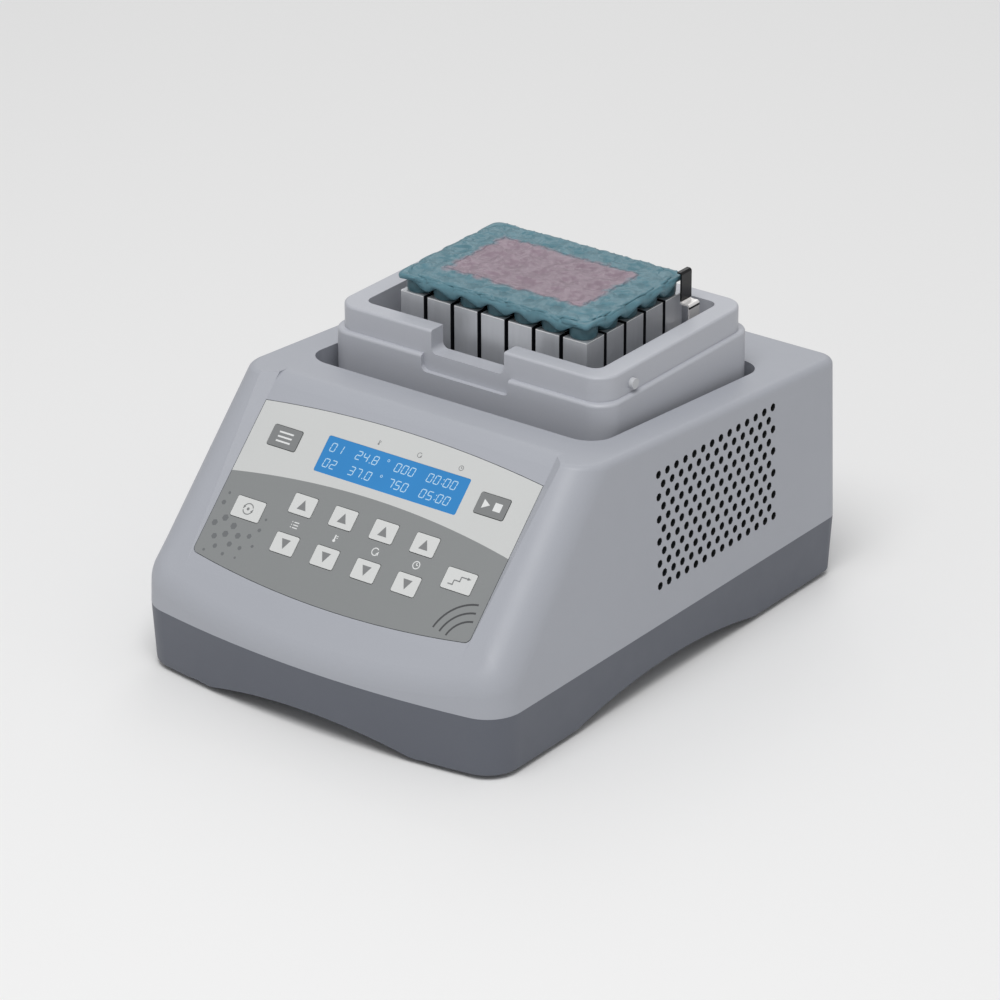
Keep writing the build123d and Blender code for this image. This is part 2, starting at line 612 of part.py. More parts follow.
BOARD_EDGE = 11.0  # boards behind the plate's front edge
BOARD_SIDE = (8.0, 6.0)  # main board and supply, in from the plate's sides
BOARD_SPLIT = (-11.0, -19.0)  # inner edges of the main board and the supply
BOARD_REAR = -27.0
STANDOFF_HEIGHT = 5.0
STANDOFF_RADIUS = 2.5
STANDOFF_IN = 4.0
BOARD_DEPTH = BOARD_REAR - CHASSIS_Y[0] - BOARD_EDGE
BOARD_Y = BOARD_REAR - BOARD_DEPTH / 2
MAIN_WIDTH = CHASSIS_HALF_WIDTH - BOARD_SIDE[0] - BOARD_SPLIT[0]
SUPPLY_WIDTH = CHASSIS_HALF_WIDTH - BOARD_SIDE[1] + BOARD_SPLIT[1]
MAIN_X = BOARD_SPLIT[0] + MAIN_WIDTH / 2
SUPPLY_X = BOARD_SPLIT[1] - SUPPLY_WIDTH / 2
STANDOFFS = [
    (x + sx * (w / 2 - STANDOFF_IN), BOARD_Y + sy * (BOARD_DEPTH / 2 - STANDOFF_IN))
    for w, x in ((MAIN_WIDTH, MAIN_X), (SUPPLY_WIDTH, SUPPLY_X)) for sx in (-1, 1) for sy in (-1, 1)
]
BOARD_Z = CHASSIS_Z + CHASSIS_THICKNESS + STANDOFF_HEIGHT
BOARD_TOP = BOARD_Z + BOARD_THICKNESS
PROCESSOR = (14.0, 14.0, 2.0)
RIBBON_SOCKET = (22.0, 9.0, 4.0)
TERMINAL = (12.0, 7.0, 9.0)
TERMINAL_PITCH = 16.0
CAPACITOR = (5.0, 14.0)
DRIVER_FIN = (4.0, 26.0, 16.0)
TRANSFORMER = (26.0, 24.0, 22.0)
SUPPLY_FIN = (3.0, 40.0, 22.0)
RESERVOIR = (8.0, 26.0)
PART_IN = 9.0  # middle of the parts along a board's edge, in from it


def main_board():
    """Control board: processor, ribbon socket, terminals, capacitors and the drivers' cooling fin."""
    board = brick((MAIN_WIDTH, BOARD_DEPTH, BOARD_THICKNESS), MAIN_X, BOARD_Y, BOARD_Z)
    rear, front = BOARD_Y + BOARD_DEPTH / 2 - PART_IN, BOARD_Y - BOARD_DEPTH / 2 + PART_IN
    left, right = MAIN_X - MAIN_WIDTH / 2 + PART_IN, MAIN_X + MAIN_WIDTH / 2 - PART_IN
    board += brick(PROCESSOR, MAIN_X, BOARD_Y, BOARD_TOP)
    board += brick(RIBBON_SOCKET, right - PART_IN, front, BOARD_TOP)
    for i in range(3):
        board += brick(TERMINAL, left + PART_IN + i * TERMINAL_PITCH, rear, BOARD_TOP)
    for i in range(2):
        board += rod(*CAPACITOR, left + PART_IN + i * 2.4 * CAPACITOR[0], front, BOARD_TOP)
    return board + brick(DRIVER_FIN, right, BOARD_Y, BOARD_TOP)


def power_supply():
    """Mains supply: transformer between two cooling fins, and its reservoir capacitors."""
    board = brick((SUPPLY_WIDTH, BOARD_DEPTH, BOARD_THICKNESS), SUPPLY_X, BOARD_Y, BOARD_Z)
    rear = BOARD_Y + BOARD_DEPTH / 2 - PART_IN - STANDOFF_IN
    board += brick(TRANSFORMER, SUPPLY_X, BOARD_Y, BOARD_TOP)
    for side in (-1, 1):
        board += brick(SUPPLY_FIN, SUPPLY_X + side * (SUPPLY_WIDTH / 2 - STANDOFF_IN), BOARD_Y, BOARD_TOP)
    board += rod(*RESERVOIR, SUPPLY_X + RESERVOIR[0], rear, BOARD_TOP)
    return board + rod(*CAPACITOR, SUPPLY_X - RESERVOIR[0], rear, BOARD_TOP)


def deck_pillars():
    low = CHASSIS_Z + CHASSIS_THICKNESS
    return [rod(PILLAR_RADIUS, DECK_Z - low, x, y, low) - rod(M3_PILOT, 12, x, y, DECK_Z - 12)
            for x, y in four(PILLAR_PLACE, MOTOR_Y)]


def mechanism_deck():
    deck = plate(DECK_HALF, DECK_THICKNESS, 8, MOTOR_Y, DECK_Z)
    deck -= rod(MOTOR_BOSS_RADIUS + FIT, 20, 0, MOTOR_Y, DECK_Z - 5)
    for x, y in four(PILLAR_PLACE, MOTOR_Y):
        deck -= rod(M3_HOLE, 20, x, y, DECK_Z - 5)
    for x, y in motor_screw_places():
        deck -= rod(M3_HOLE, 20, x, y, DECK_Z - 5)
    for x, y in four(IDLER_PLACE, MOTOR_Y):
        deck -= rod(SMALL_BEARING[0], DECK_THICKNESS, x, y, DECK_Z + DECK_THICKNESS - SMALL_BEARING[1])
        deck -= rod(SMALL_BEARING[0] - SHOULDER, 20, x, y, DECK_Z - 5)
    return deck


def motor_screw_places():
    return four(MOTOR_SCREW_PLACE, MOTOR_Y)


def bearing(size, bore, x, y, z):
    """A shielded ball bearing as one ring."""
    outer, width = size
    return rod(outer, width, x, y, z) - rod(bore + RUNNING, width, x, y, z)


def deck_bearings():
    low = DECK_Z + DECK_THICKNESS - SMALL_BEARING[1]
    return [bearing(SMALL_BEARING, IDLER_PIN_RADIUS, x, y, low) for x, y in four(IDLER_PLACE, MOTOR_Y)]


def motor():
    low = DECK_Z - MOTOR_HEIGHT
    can = rod(MOTOR_RADIUS, MOTOR_HEIGHT, 0, MOTOR_Y, low)
    can = chamfer(can.edges(), 1.5)
    can += rod(MOTOR_BOSS_RADIUS, DECK_THICKNESS - 1, 0, MOTOR_Y, DECK_Z)
    can -= rod(SHAFT_RADIUS + RUNNING, 60, 0, MOTOR_Y, low + 4)
    for x, y in motor_screw_places():
        can -= rod(M3_PILOT, 8, x, y, DECK_Z - 8)
    return can


def eccentric_shaft():
    """Motor shaft, hub, and the crank pin that carries the platform."""
    low = DECK_Z - MOTOR_HEIGHT + 5
    shaft = rod(SHAFT_RADIUS, HUB_Z - low, 0, MOTOR_Y, low)
    shaft += rod(HUB_RADIUS, HUB_HEIGHT, 0, MOTOR_Y, HUB_Z)
    pin_low = HUB_Z + HUB_HEIGHT
    pin_top = PLATFORM_Z + PLATFORM_THICKNESS - 0.5
    return shaft + rod(SHAFT_RADIUS, pin_top - pin_low, 0, MIX_Y, pin_low)


def counterweight():
    """Half disc on the side away from the crank pin."""
    low = HUB_Z + 1.5
    disc = rod(COUNTERWEIGHT_RADIUS, COUNTERWEIGHT_THICKNESS, 0, MOTOR_Y, low)
    disc -= Pos(0, MOTOR_Y + HUB_RADIUS + COUNTERWEIGHT_RADIUS - 8, low) * Box(
        4 * COUNTERWEIGHT_RADIUS, 2 * COUNTERWEIGHT_RADIUS, 40)
    disc += rod(HUB_RADIUS + 4, COUNTERWEIGHT_THICKNESS, 0, MOTOR_Y, low)
    return disc - rod(HUB_RADIUS, 40, 0, MOTOR_Y, low - 5)


def idler_crank(x, y):
    """Disc with a lower pin in the deck and an upper pin in the platform, offset by the orbit."""
    disc_low = DECK_Z + DECK_THICKNESS + 0.4
    disc_top = disc_low + IDLER_DISC_HEIGHT
    pin_low = DECK_Z + DECK_THICKNESS - SMALL_BEARING[1]
    pin_top = PLATFORM_Z + PLATFORM_THICKNESS - 0.5
    crank = rod(IDLER_PIN_RADIUS, disc_low - pin_low, x, y, pin_low)
    crank += rod(IDLER_DISC_RADIUS, IDLER_DISC_HEIGHT, x, y, disc_low)
    return crank + rod(IDLER_PIN_RADIUS, pin_top - disc_top, x, y + ORBIT_RADIUS, disc_top)


# ---------------------------------------------------------------- platform
def drive_plate():
    top = PLATFORM_Z + PLATFORM_THICKNESS
    slab = plate(PLATFORM_HALF, PLATFORM_THICKNESS, 6, MIX_Y, PLATFORM_Z)
    slab -= rod(BIG_BEARING[0], 20, 0, MIX_Y, top - BIG_BEARING[1])
    slab -= rod(BIG_BEARING[0] - SHOULDER, 40, 0, MIX_Y, PLATFORM_Z - 5)
    for x, y in four(IDLER_PLACE, MIX_Y):
        slab -= rod(SMALL_BEARING[0], 20, x, y, top - SMALL_BEARING[1])
        slab -= rod(SMALL_BEARING[0] - SHOULDER, 40, x, y, PLATFORM_Z - 5)
    for side in (-1, 1):
        slab -= Pos(side * 32, MIX_Y, PLATFORM_Z - 5) * extrude(SlotOverall(30, 12, rotation=90), 40)
    return slab


def platform_bearings():
    top = PLATFORM_Z + PLATFORM_THICKNESS
    rings = [bearing(BIG_BEARING, SHAFT_RADIUS, 0, MIX_Y, top - BIG_BEARING[1])]
    for x, y in four(IDLER_PLACE, MIX_Y):
        rings.append(bearing(SMALL_BEARING, IDLER_PIN_RADIUS, x, y, top - SMALL_BEARING[1]))
    return rings


def surround_posts():
    low = PLATFORM_Z + PLATFORM_THICKNESS
    return [rod(POST_RADIUS, SURROUND_FLOOR_Z - low, x, y, low) - rod(M3_PILOT, 9, x, y, SURROUND_FLOOR_Z - 9)
            for x, y in four(POST_PLACE, MIX_Y)]


def heat_sink():
    """Base plate on top, fins and two side rails below, open along X for the fan's air."""
    low = PLATFORM_Z + PLATFORM_THICKNESS
    sink = plate(SINK_HALF, SINK_BASE, 2, MIX_Y, low + SINK_HEIGHT - SINK_BASE)
    fin_height = SINK_HEIGHT - SINK_BASE
    for side in (-1, 1):
        sink += brick((2 * SINK_HALF[0] - 4, SINK_RAIL, fin_height), 0,
                      MIX_Y + side * (SINK_HALF[1] - SINK_RAIL / 2), low)
    span = 2 * (SINK_HALF[1] - SINK_RAIL)
    step = span / (SINK_FIN_COUNT + 1)
    for i in range(SINK_FIN_COUNT):
        y = MIX_Y - span / 2 + (i + 1) * step
        sink += brick((2 * SINK_HALF[0] - 4, SINK_FIN, fin_height - 1.5), 0, y, low + 1.5)
    return sink


SINK_TOP = PLATFORM_Z + PLATFORM_THICKNESS + SINK_HEIGHT


def peltier_modules():
    return [brick((PELTIER[0], PELTIER[0], PELTIER[1]), side * PELTIER_X, MIX_Y, SINK_TOP) for side in (-1, 1)]


def insulation_frame():
    frame = plate(SINK_HALF, PELTIER[1], 2, MIX_Y, SINK_TOP)
    for side in (-1, 1):
        frame -= brick((PELTIER[0] + FIT, PELTIER[0] + FIT, 20), side * PELTIER_X, MIX_Y, SINK_TOP - 5)
    return frame


def transfer_plate():
    low = SINK_TOP + PELTIER[1]
    slab = plate(SINK_HALF, TRANSFER_THICKNESS, 2, MIX_Y, low)
    for side in (-1, 1):
        slab += rod(LOCATING_PIN[0], LOCATING_PIN[1], side * PITCH * 2, MIX_Y, BLOCK_Z)
    return slab


# ---------------------------------------------------------------- heating block and tubes
def hole_places():
    return [((c - (COLUMNS - 1) / 2) * PITCH, MIX_Y + (r - (ROWS - 1) / 2) * PITCH)
            for c in range(COLUMNS) for r in range(ROWS)]


def heating_block():
    block = brick((*BLOCK_SIZE, BLOCK_HEIGHT), 0, MIX_Y, BLOCK_Z)
    cut_z = BLOCK_TOP - SLOT_DEPTH
    for i in range(COLUMNS - 1):
        block -= brick((SLOT, BODY_DEPTH, SLOT_DEPTH + 1), (i - (COLUMNS - 2) / 2) * PITCH, MIX_Y, cut_z)
    for i in range(ROWS - 1):
        block -= brick((BODY_WIDTH, SLOT, SLOT_DEPTH + 1), 0, MIX_Y + (i - (ROWS - 2) / 2) * PITCH, cut_z)
    block -= [rod(HOLE_RADIUS, HOLE_DEPTH + 1, x, y, BLOCK_TOP - HOLE_DEPTH) for x, y in hole_places()]
    for side in (-1, 1):
        pin_hole = rod(LOCATING_PIN[0] + FIT, LOCATING_PIN[1] + FIT + 1, side * PITCH * 2, MIX_Y, BLOCK_Z - 1)
        block -= pin_hole
    return block


def tube():
    """A closed microtube about its own axis: tapered body, collar on the block, square lid."""
    body = HOLE_RADIUS - TUBE_FIT
    base = BLOCK_TOP - TUBE_BODY
    seat = BLOCK_TOP + 0.2
    lid = BLOCK_TOP + COLLAR_HEIGHT
    profile = Polyline(
        (0, base), (TUBE_TIP_RADIUS, base), (body, base + TUBE_BODY * 0.55), (body, seat),
        (COLLAR_RADIUS[0], seat), (COLLAR_RADIUS[1], lid), (0, lid), close=True,
    )
    half = (PITCH - LID_GAP) / 2
    return revolve(Plane.XZ * make_face(profile), Axis.Z) + plate((half, half), LID_HEIGHT, LID_CORNER, z=lid)


def tubes(inner):
    """The tubes of the outer ring of holes, or those inside it."""
    reach = ((COLUMNS - 1) / 2 * PITCH - 1, (ROWS - 1) / 2 * PITCH - 1)
    one = tube()
    return [Pos(x, y, 0) * one for x, y in hole_places()
            if (abs(x) < reach[0] and abs(y - MIX_Y) < reach[1]) == inner]


# ---------------------------------------------------------------- surround
def notch(half, z, corner, front, depth):
    """A gap in the front of the rim, open upwards, with round bottom corners."""
    width, height = 2 * half, SURROUND_TOP - z + 10
    shape = Pos(0, z + height / 2) * Rectangle(width, height)
    shape = fillet(shape.vertices().sort_by(Axis.Y)[:2], corner)
    return Pos(0, front, 0) * extrude(Plane.XZ * shape, -depth)


def surround_solid(wall=0.0):
    """The ring between the outer wall and the opening, moved in by wall on every side."""
    foot = SURROUND_SKIRT_Z - (1 if wall else 0)
    corner = SURROUND_CORNER - wall
    lower_half, upper_half = grown(SURROUND_LOWER, -wall), grown(SURROUND_UPPER, -wall)
    lower = plate(lower_half, SURROUND_LEDGE_Z - wall - foot, corner, MIX_Y, foot)
    upper = plate(upper_half, SURROUND_TOP - wall - foot, corner, MIX_Y, foot)
    front = MIX_Y - SURROUND_LOWER[1]
    ledge_cut = notch(LEDGE_NOTCH_HALF + wall, SURROUND_LEDGE_NOTCH_Z - wall, 3, front - 5, 25)
    if not wall:
        lower = fillet(lower.faces().sort_by(Axis.Z)[-1].edges(), 1.5)
        upper = fillet(upper.faces().sort_by(Axis.Z)[-1].edges(), 1.2)
    ring = (lower - ledge_cut) + upper
    opening = plate(grown(SURROUND_OPENING, wall), CREST_Z, SURROUND_OPENING_CORNER + wall, MIX_Y, foot - 1)
    ring -= opening
    depth = MIX_Y - SURROUND_OPENING[1] - front + 20
    return ring - notch(NOTCH_HALF + wall, SURROUND_NOTCH_Z - wall, 3, front - 10, depth)


def surround():
    """Double-walled rim, floor with a window for the thermal stack, and two studs for a lid."""
    shell = surround_solid() - surround_solid(SURROUND_WALL)
    inner_wall = grown(SURROUND_OPENING, SURROUND_WALL)
    floor = plate(inner_wall, SURROUND_WALL, SURROUND_OPENING_CORNER + SURROUND_WALL, MIX_Y, SURROUND_FLOOR_Z)
    below = brick((2 * inner_wall[0] + 2, 2 * inner_wall[1] + 2, SURROUND_FLOOR_Z), 0, MIX_Y, 0)
    shell = (shell - below) + floor
    shell -= plate(grown(SINK_HALF, 2.5), CREST_Z, 4, MIX_Y, SURROUND_FLOOR_Z - 5)
    for x, y in four(POST_PLACE, MIX_Y):
        shell -= rod(M3_HOLE, 20, x, y, SURROUND_FLOOR_Z - 5)
    radius, length = STUD
    for side in (-1, 1):
        turn = Rot(0, side * 90, 0)
        x = side * (SURROUND_UPPER[0] - 1)
        stud = turn * Cylinder(radius, length + 1, align=LOW)
        shell += Pos(x, MIX_Y + STUD_PLACE[0], STUD_PLACE[1]) * stud
    return shell


# ---------------------------------------------------------------- clip
def clip_bracket():
    """Plate on the block's side with two ears and the hinge pin through them."""
    face = BLOCK_SIZE[0] / 2
    x, z = CLIP_PIVOT
    inner = CLIP_WIDTH + 2 * FIT
    width = inner + 2.4
    bracket = Pos(face + 0.5, CLIP_Y, z) * Box(1, width, 12)
    for side in (-1, 1):
        y = CLIP_Y + side * (inner / 2 + 0.6)
        ear = Pos((face + x + CLIP_BARREL_RADIUS) / 2, y, z)
        bracket += ear * Box(x + CLIP_BARREL_RADIUS - face, 1.2, 2 * CLIP_BARREL_RADIUS)
    pin = Pos(x, CLIP_Y, z) * Rot(90, 0, 0) * Cylinder(CLIP_PIN_RADIUS, width)
    return bracket + pin


def retaining_clip():
    """Bent spring strip: barrel round the pin, finger tab, and the hook at lid height."""
    x, z = CLIP_PIVOT
    inner_x = BLOCK_SIZE[0] / 2 + 3.6
    centre_line = FilletPolyline(
        (x, z + CLIP_BARREL_RADIUS - CLIP_STRIP / 2), (inner_x, CLIP_TAB_Z[0]), (CLIP_TAB_X, CLIP_TAB_Z[0]),
        (CLIP_TAB_X, CLIP_TAB_Z[1]), (inner_x, CLIP_TAB_Z[1]), (inner_x, CLIP_HOOK_Z),
        (inner_x - 2.2, CLIP_HOOK_Z), radius=0.9,
    )
    strip = Plane.XZ * trace(centre_line, CLIP_STRIP)
    clip = Pos(0, CLIP_Y + CLIP_WIDTH / 2, 0) * extrude(strip, CLIP_WIDTH)
    barrel = Pos(x, CLIP_Y, z) * Rot(90, 0, 0) * Cylinder(CLIP_BARREL_RADIUS, CLIP_WIDTH)
    bore = Pos(x, CLIP_Y, z) * Rot(90, 0, 0) * Cylinder(CLIP_PIN_RADIUS + RUNNING, 2 * CLIP_WIDTH)
    return clip + barrel - bore


# ---------------------------------------------------------------- rear wall pieces
def from_rear(size, x, z, deep=0.0):
    """A box let into the rear face: size across, up and deep, its outer end deep inside the face."""
    w, h, d = size
    return Pos(x, REAR_FACE - deep - d / 2, z) * Box(w, d, h)


def mains_inlet():
    """Appliance inlet with the fuse drawer's slot below the socket."""
    w, h, d = INLET_FLANGE
    body = from_rear(INLET_BODY, INLET_X, REAR_PARTS_Z)
    flange = Pos(INLET_X, REAR_FACE + d / 2, REAR_PARTS_Z) * Box(w, d, h)
    flange = fillet(flange.edges().filter_by(Axis.Y), 2)
    inlet = body + flange
    inlet -= from_rear((SOCKET[0], SOCKET[1], SOCKET[2] + 2 * d), INLET_X, REAR_PARTS_Z + SOCKET_RISE, -2 * d)
    slot = [v + 2 * FIT for v in DRAWER]
    inlet -= from_rear((slot[0], slot[1], slot[2] + 2 * d), INLET_X, REAR_PARTS_Z - DRAWER_DROP, -2 * d)
    for place in inlet_pin_places():
        inlet -= pin_box(place, INLET_BODY[2] + 10, -5)
    return inlet


def inlet_pin_places():
    z = REAR_PARTS_Z + SOCKET_RISE
    return [(INLET_X - 7, z - 2), (INLET_X, z + 2), (INLET_X + 7, z - 2)]


def pin_box(place, length, outer):
    return Pos(place[0], REAR_FACE - outer - length / 2, place[1]) * Box(2, length, 4)


def inlet_pins():
    return [pin_box(place, INLET_BODY[2] + 2, 3) for place in inlet_pin_places()]


def fuse_drawer():
    z = REAR_PARTS_Z - DRAWER_DROP
    w, h, d = DRAWER
    drawer = from_rear((w, h, d + INLET_FLANGE[2]), INLET_X, z, -INLET_FLANGE[2])
    grip = Pos(INLET_X, REAR_FACE + INLET_FLANGE[2] + 0.5, z) * Box(8, 1, h - 2)
    drawer += grip
    nest = Pos(INLET_X, REAR_FACE - 6, z + 1) * Box(FUSE[1] + FIT, 2 * FUSE[0] + FIT, h)
    return drawer - nest


def fuse():
    z = REAR_PARTS_Z - DRAWER_DROP + 1 - DRAWER[1] / 2 + FUSE[0]
    return Pos(INLET_X, REAR_FACE - 6, z) * Rot(0, 90, 0) * Cylinder(FUSE[0] - FIT / 2, FUSE[1])


ROCKER_PIVOT_Y = REAR_FACE - 1.5


def switch_frame():
    w, h, d = SWITCH_FLANGE
    body = from_rear(SWITCH_BODY, SWITCH_X, REAR_PARTS_Z)
    flange = Pos(SWITCH_X, REAR_FACE + d / 2, REAR_PARTS_Z) * Box(w, d, h)
    frame = body + fillet(flange.edges().filter_by(Axis.Y), 1.5)
    axle = Pos(SWITCH_X, ROCKER_PIVOT_Y, REAR_PARTS_Z) * Rot(0, 90, 0)
    frame -= axle * Cylinder(ROCKER_RADIUS + FIT, ROCKER_WIDTH + 2 * FIT)
    return frame - axle * Cylinder(1.5 + RUNNING, SWITCH_BODY[0] - 0.6)


def rocker():
    """Disc segment with a dished face, on two trunnions, resting with its lower end pressed in."""
    side = Plane.YZ * Circle(ROCKER_RADIUS)
    barrel = extrude(side, ROCKER_WIDTH / 2, both=True)
    centre, end = 3.4, 3.4 + ROCKER_RADIUS * tan(radians(ROCKER_TILT))
    far = 2 * ROCKER_RADIUS
    face = Polyline((centre, 0), (end, ROCKER_RADIUS), (far, far), (far, -far), (end, -ROCKER_RADIUS),
                    close=True)
    cut = extrude(Plane.YZ * make_face(face), ROCKER_WIDTH, both=True)
    trunnions = Rot(0, 90, 0) * Cylinder(1.5, SWITCH_BODY[0] - 0.8)
    return Pos(SWITCH_X, ROCKER_PIVOT_Y, REAR_PARTS_Z) * Rot(-ROCKER_TILT, 0, 0) * (barrel - cut + trunnions)


# ---------------------------------------------------------------- fan
def along_x(shape, x):
    """Turns an upright shape so that its axis lies along X, starting at x on the fan's axis."""
    return Pos(x, FAN_Y, FAN_Z) * Rot(0, 90, 0) * shape


def fan_bracket():
    low = CHASSIS_Z + CHASSIS_THICKNESS
    half = FAN_SIZE / 2
    upright = Pos(FAN_X - BRACKET_THICKNESS / 2, FAN_Y, (low + FAN_Z + half) / 2) * Box(
        BRACKET_THICKNESS, FAN_SIZE, FAN_Z + half - low)
    foot = Pos(FAN_X + 5, FAN_Y, low + BRACKET_THICKNESS / 2) * Box(10, FAN_SIZE, BRACKET_THICKNESS)
    hole = along_x(Cylinder(FAN_BORE, 20), FAN_X)
    return upright + foot - hole


def fan_frame():
    half = FAN_SIZE / 2
    shell = Pos(FAN_X + FAN_DEPTH / 2, FAN_Y, FAN_Z) * Box(FAN_DEPTH, FAN_SIZE, FAN_SIZE)
    shell -= along_x(Cylinder(FAN_BORE, 4 * FAN_DEPTH), FAN_X)
    for y, z in four((half - 4, half - 4)):
        shell -= Pos(FAN_X, FAN_Y + y, FAN_Z + z) * Rot(0, 90, 0) * Cylinder(2, 4 * FAN_DEPTH)
    shell += along_x(Cylinder(FAN_HUB - 1, 3, align=LOW), FAN_X)
    for turn in range(3):
        strut = Rot(0, 0, 120 * turn + 30) * Pos(FAN_BORE / 2, 0, 1) * Box(FAN_BORE + 2, 3, 2)
        shell += along_x(strut, FAN_X)
    return shell - along_x(Cylinder(1.5 + RUNNING, 20), FAN_X)


def fan_rotor():
    """Hub cup on its shaft with pitched blades."""
    low, high = 4.0, FAN_DEPTH - 1.5
    hub = Pos(0, 0, low) * Cylinder(FAN_HUB, high - low, align=LOW)
    blade_height = high - low - 2
    tilted = Rot(38, 0, 0) * Box(FAN_BORE * 2, 1.2, blade_height * 1.6)
    blade = Pos(0, 0, (low + high) / 2) * (Pos(FAN_BORE, 0, 0) * tilted)
    sweep_ring = Pos(0, 0, low + 1) * (
        Cylinder(FAN_BORE - 1, blade_height, align=LOW) - Cylinder(FAN_HUB - 1, blade_height, align=LOW))
    blade = blade & sweep_ring
    rotor = hub
    for i in range(FAN_BLADES):
        rotor += Rot(0, 0, i * 360 / FAN_BLADES) * blade
    rotor += Cylinder(1.5, low, align=LOW)
    return along_x(rotor, FAN_X)


# ---------------------------------------------------------------- write every sub-part
def main():
    os.makedirs("parts", exist_ok=True)
    write("upper_housing", upper_housing())
    write("base_tray", base_tray())
    write("rubber_feet", *rubber_feet())
    closing = screws(closing_screw_places(), CLOSING_SCREW, CLOSING_SCREW_LENGTH, TRAY_FLOOR_Z, up=False)
    write("closing_screws", *closing)
    write("panel_overlay", panel_overlay())
    write("display_window", display_window())
    write("display_module", display_module())
    write("keypad_board", keypad_board())
    for name, place, size in key_places():
        write(f"key_{name}", key(place, size))
    plate_top = CHASSIS_Z + CHASSIS_THICKNESS
    deck_top = DECK_Z + DECK_THICKNESS
    write("chassis_plate", chassis_plate())
    write("chassis_screws", *screws(chassis_screw_places(), M3, 7, plate_top))
    write("main_board", main_board())
    write("power_supply", power_supply())
    write("deck_pillars", *deck_pillars())
    write("mechanism_deck", mechanism_deck())
    write("deck_screws", *screws(four(PILLAR_PLACE, MOTOR_Y), M3, 14, deck_top))
    write("deck_bearings", *deck_bearings())
    write("motor", motor())
    write("motor_screws", *screws(motor_screw_places(), M3_LOW, 12, deck_top))
    write("eccentric_shaft", eccentric_shaft())
    write("counterweight", counterweight())
    for i, (x, y) in enumerate(four(IDLER_PLACE, MOTOR_Y)):
        write(f"idler_crank_{i + 1}", idler_crank(x, y))
    write("drive_plate", drive_plate())
    write("platform_bearings", *platform_bearings())
    write("surround_posts", *surround_posts())
    write("heat_sink", heat_sink())
    write("thermoelectric_modules", *peltier_modules())
    write("insulation_frame", insulation_frame())
    write("transfer_plate", transfer_plate())
    write("block_surround", surround())
    floor_top = SURROUND_FLOOR_Z + SURROUND_WALL
    write("surround_screws", *screws(four(POST_PLACE, MIX_Y), M3, 9, floor_top))
    write("heating_block", heating_block())
    write("clip_bracket", clip_bracket())
    write("retaining_clip", retaining_clip())
    write("tubes_outer", *tubes(False))
    write("tubes_inner", *tubes(True))
    write("mains_inlet", mains_inlet())
    write("inlet_pins", *inlet_pins())
    write("fuse_drawer", fuse_drawer())
    write("fuse", fuse())
    write("switch_frame", switch_frame())
    write("power_rocker", rocker())
    write("fan_bracket", fan_bracket())
    write("fan_frame", fan_frame())
    write("fan_rotor", fan_rotor())


main()
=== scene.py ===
from math import cos, exp, hypot, pi, radians, sin, sqrt, tan

import bmesh
import bpy
from mathutils import Matrix, Vector, noise


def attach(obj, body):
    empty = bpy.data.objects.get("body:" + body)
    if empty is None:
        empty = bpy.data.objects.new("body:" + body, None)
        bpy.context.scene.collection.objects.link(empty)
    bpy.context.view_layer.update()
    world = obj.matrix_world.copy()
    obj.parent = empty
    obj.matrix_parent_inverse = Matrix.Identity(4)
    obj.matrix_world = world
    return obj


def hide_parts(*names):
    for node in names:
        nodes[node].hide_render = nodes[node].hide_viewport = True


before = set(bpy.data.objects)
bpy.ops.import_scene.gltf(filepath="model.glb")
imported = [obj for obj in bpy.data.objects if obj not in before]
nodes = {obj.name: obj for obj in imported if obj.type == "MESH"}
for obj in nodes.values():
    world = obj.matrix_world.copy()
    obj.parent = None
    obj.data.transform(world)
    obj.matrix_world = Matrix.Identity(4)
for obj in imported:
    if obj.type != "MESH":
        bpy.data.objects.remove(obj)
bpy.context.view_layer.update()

# ------------------------------------------------------------------ upper housing
# One large injection moulding in light grey-blue ABS with a fine spark-eroded grain. It drops over
# the lip of the base and is held from below by four screws. The rim round the heating block is
# moulded in the same plastic, with two pale lid studs on its sides. The walls of the vent holes are
# painted near-black: painted shade.


def add_node(tree, kind, feeds=None, **settings):
    """One node; feeds gives its inputs their values, or the sockets that feed them."""
    made = tree.nodes.new(kind)
    for key, value in settings.items():
        setattr(made, key, value)
    for key, value in (feeds or {}).items():
        if isinstance(value, bpy.types.NodeSocket):
            tree.links.new(value, made.inputs[key])
        else:
            made.inputs[key].default_value = value
    return made


def maths(tree, operation, first, second=0.0, third=0.0):
    """The result of one sum of the Math node."""
    return add_node(tree, "ShaderNodeMath", {0: first, 1: second, 2: third}, operation=operation).outputs[0]


def group_of(name, inputs, outputs):
    """An empty node group with named sockets, and its two end nodes."""
    tree = bpy.data.node_groups.new(name, "ShaderNodeTree")
    for label, kind, value in inputs:
        made = tree.interface.new_socket(name=label, in_out="INPUT", socket_type="NodeSocket" + kind)
        made.default_value = value
    for label, kind in outputs:
        tree.interface.new_socket(name=label, in_out="OUTPUT", socket_type="NodeSocket" + kind)
    return tree, tree.nodes.new("NodeGroupInput").outputs, tree.nodes.new("NodeGroupOutput").inputs


def start_finish(name, group, group_values, **plain):
    """A material whose colour, roughness and normal come from a group; plain holds the other sockets."""
    finish = bpy.data.materials.new(name)
    finish.use_nodes = True
    tree = finish.node_tree
    shader = tree.nodes["Principled BSDF"]
    for label, value in plain.items():
        shader.inputs[label.replace("_", " ")].default_value = value
    surface = add_node(tree, "ShaderNodeGroup", node_tree=group)
    for label, value in group_values.items():
        surface.inputs[label].default_value = value
    for output, socket in (("Colour", "Base Color"), ("Roughness", "Roughness"), ("Normal", "Normal")):
        tree.links.new(surface.outputs[output], shader.inputs[socket])
    return finish


def place_of(tree):
    """The X, Y and Z of the shaded place, in metres."""
    where = add_node(tree, "ShaderNodeSeparateXYZ", {0: add_node(tree, "ShaderNodeTexCoord").outputs["Object"]})
    return where.outputs["X"], where.outputs["Y"], where.outputs["Z"]


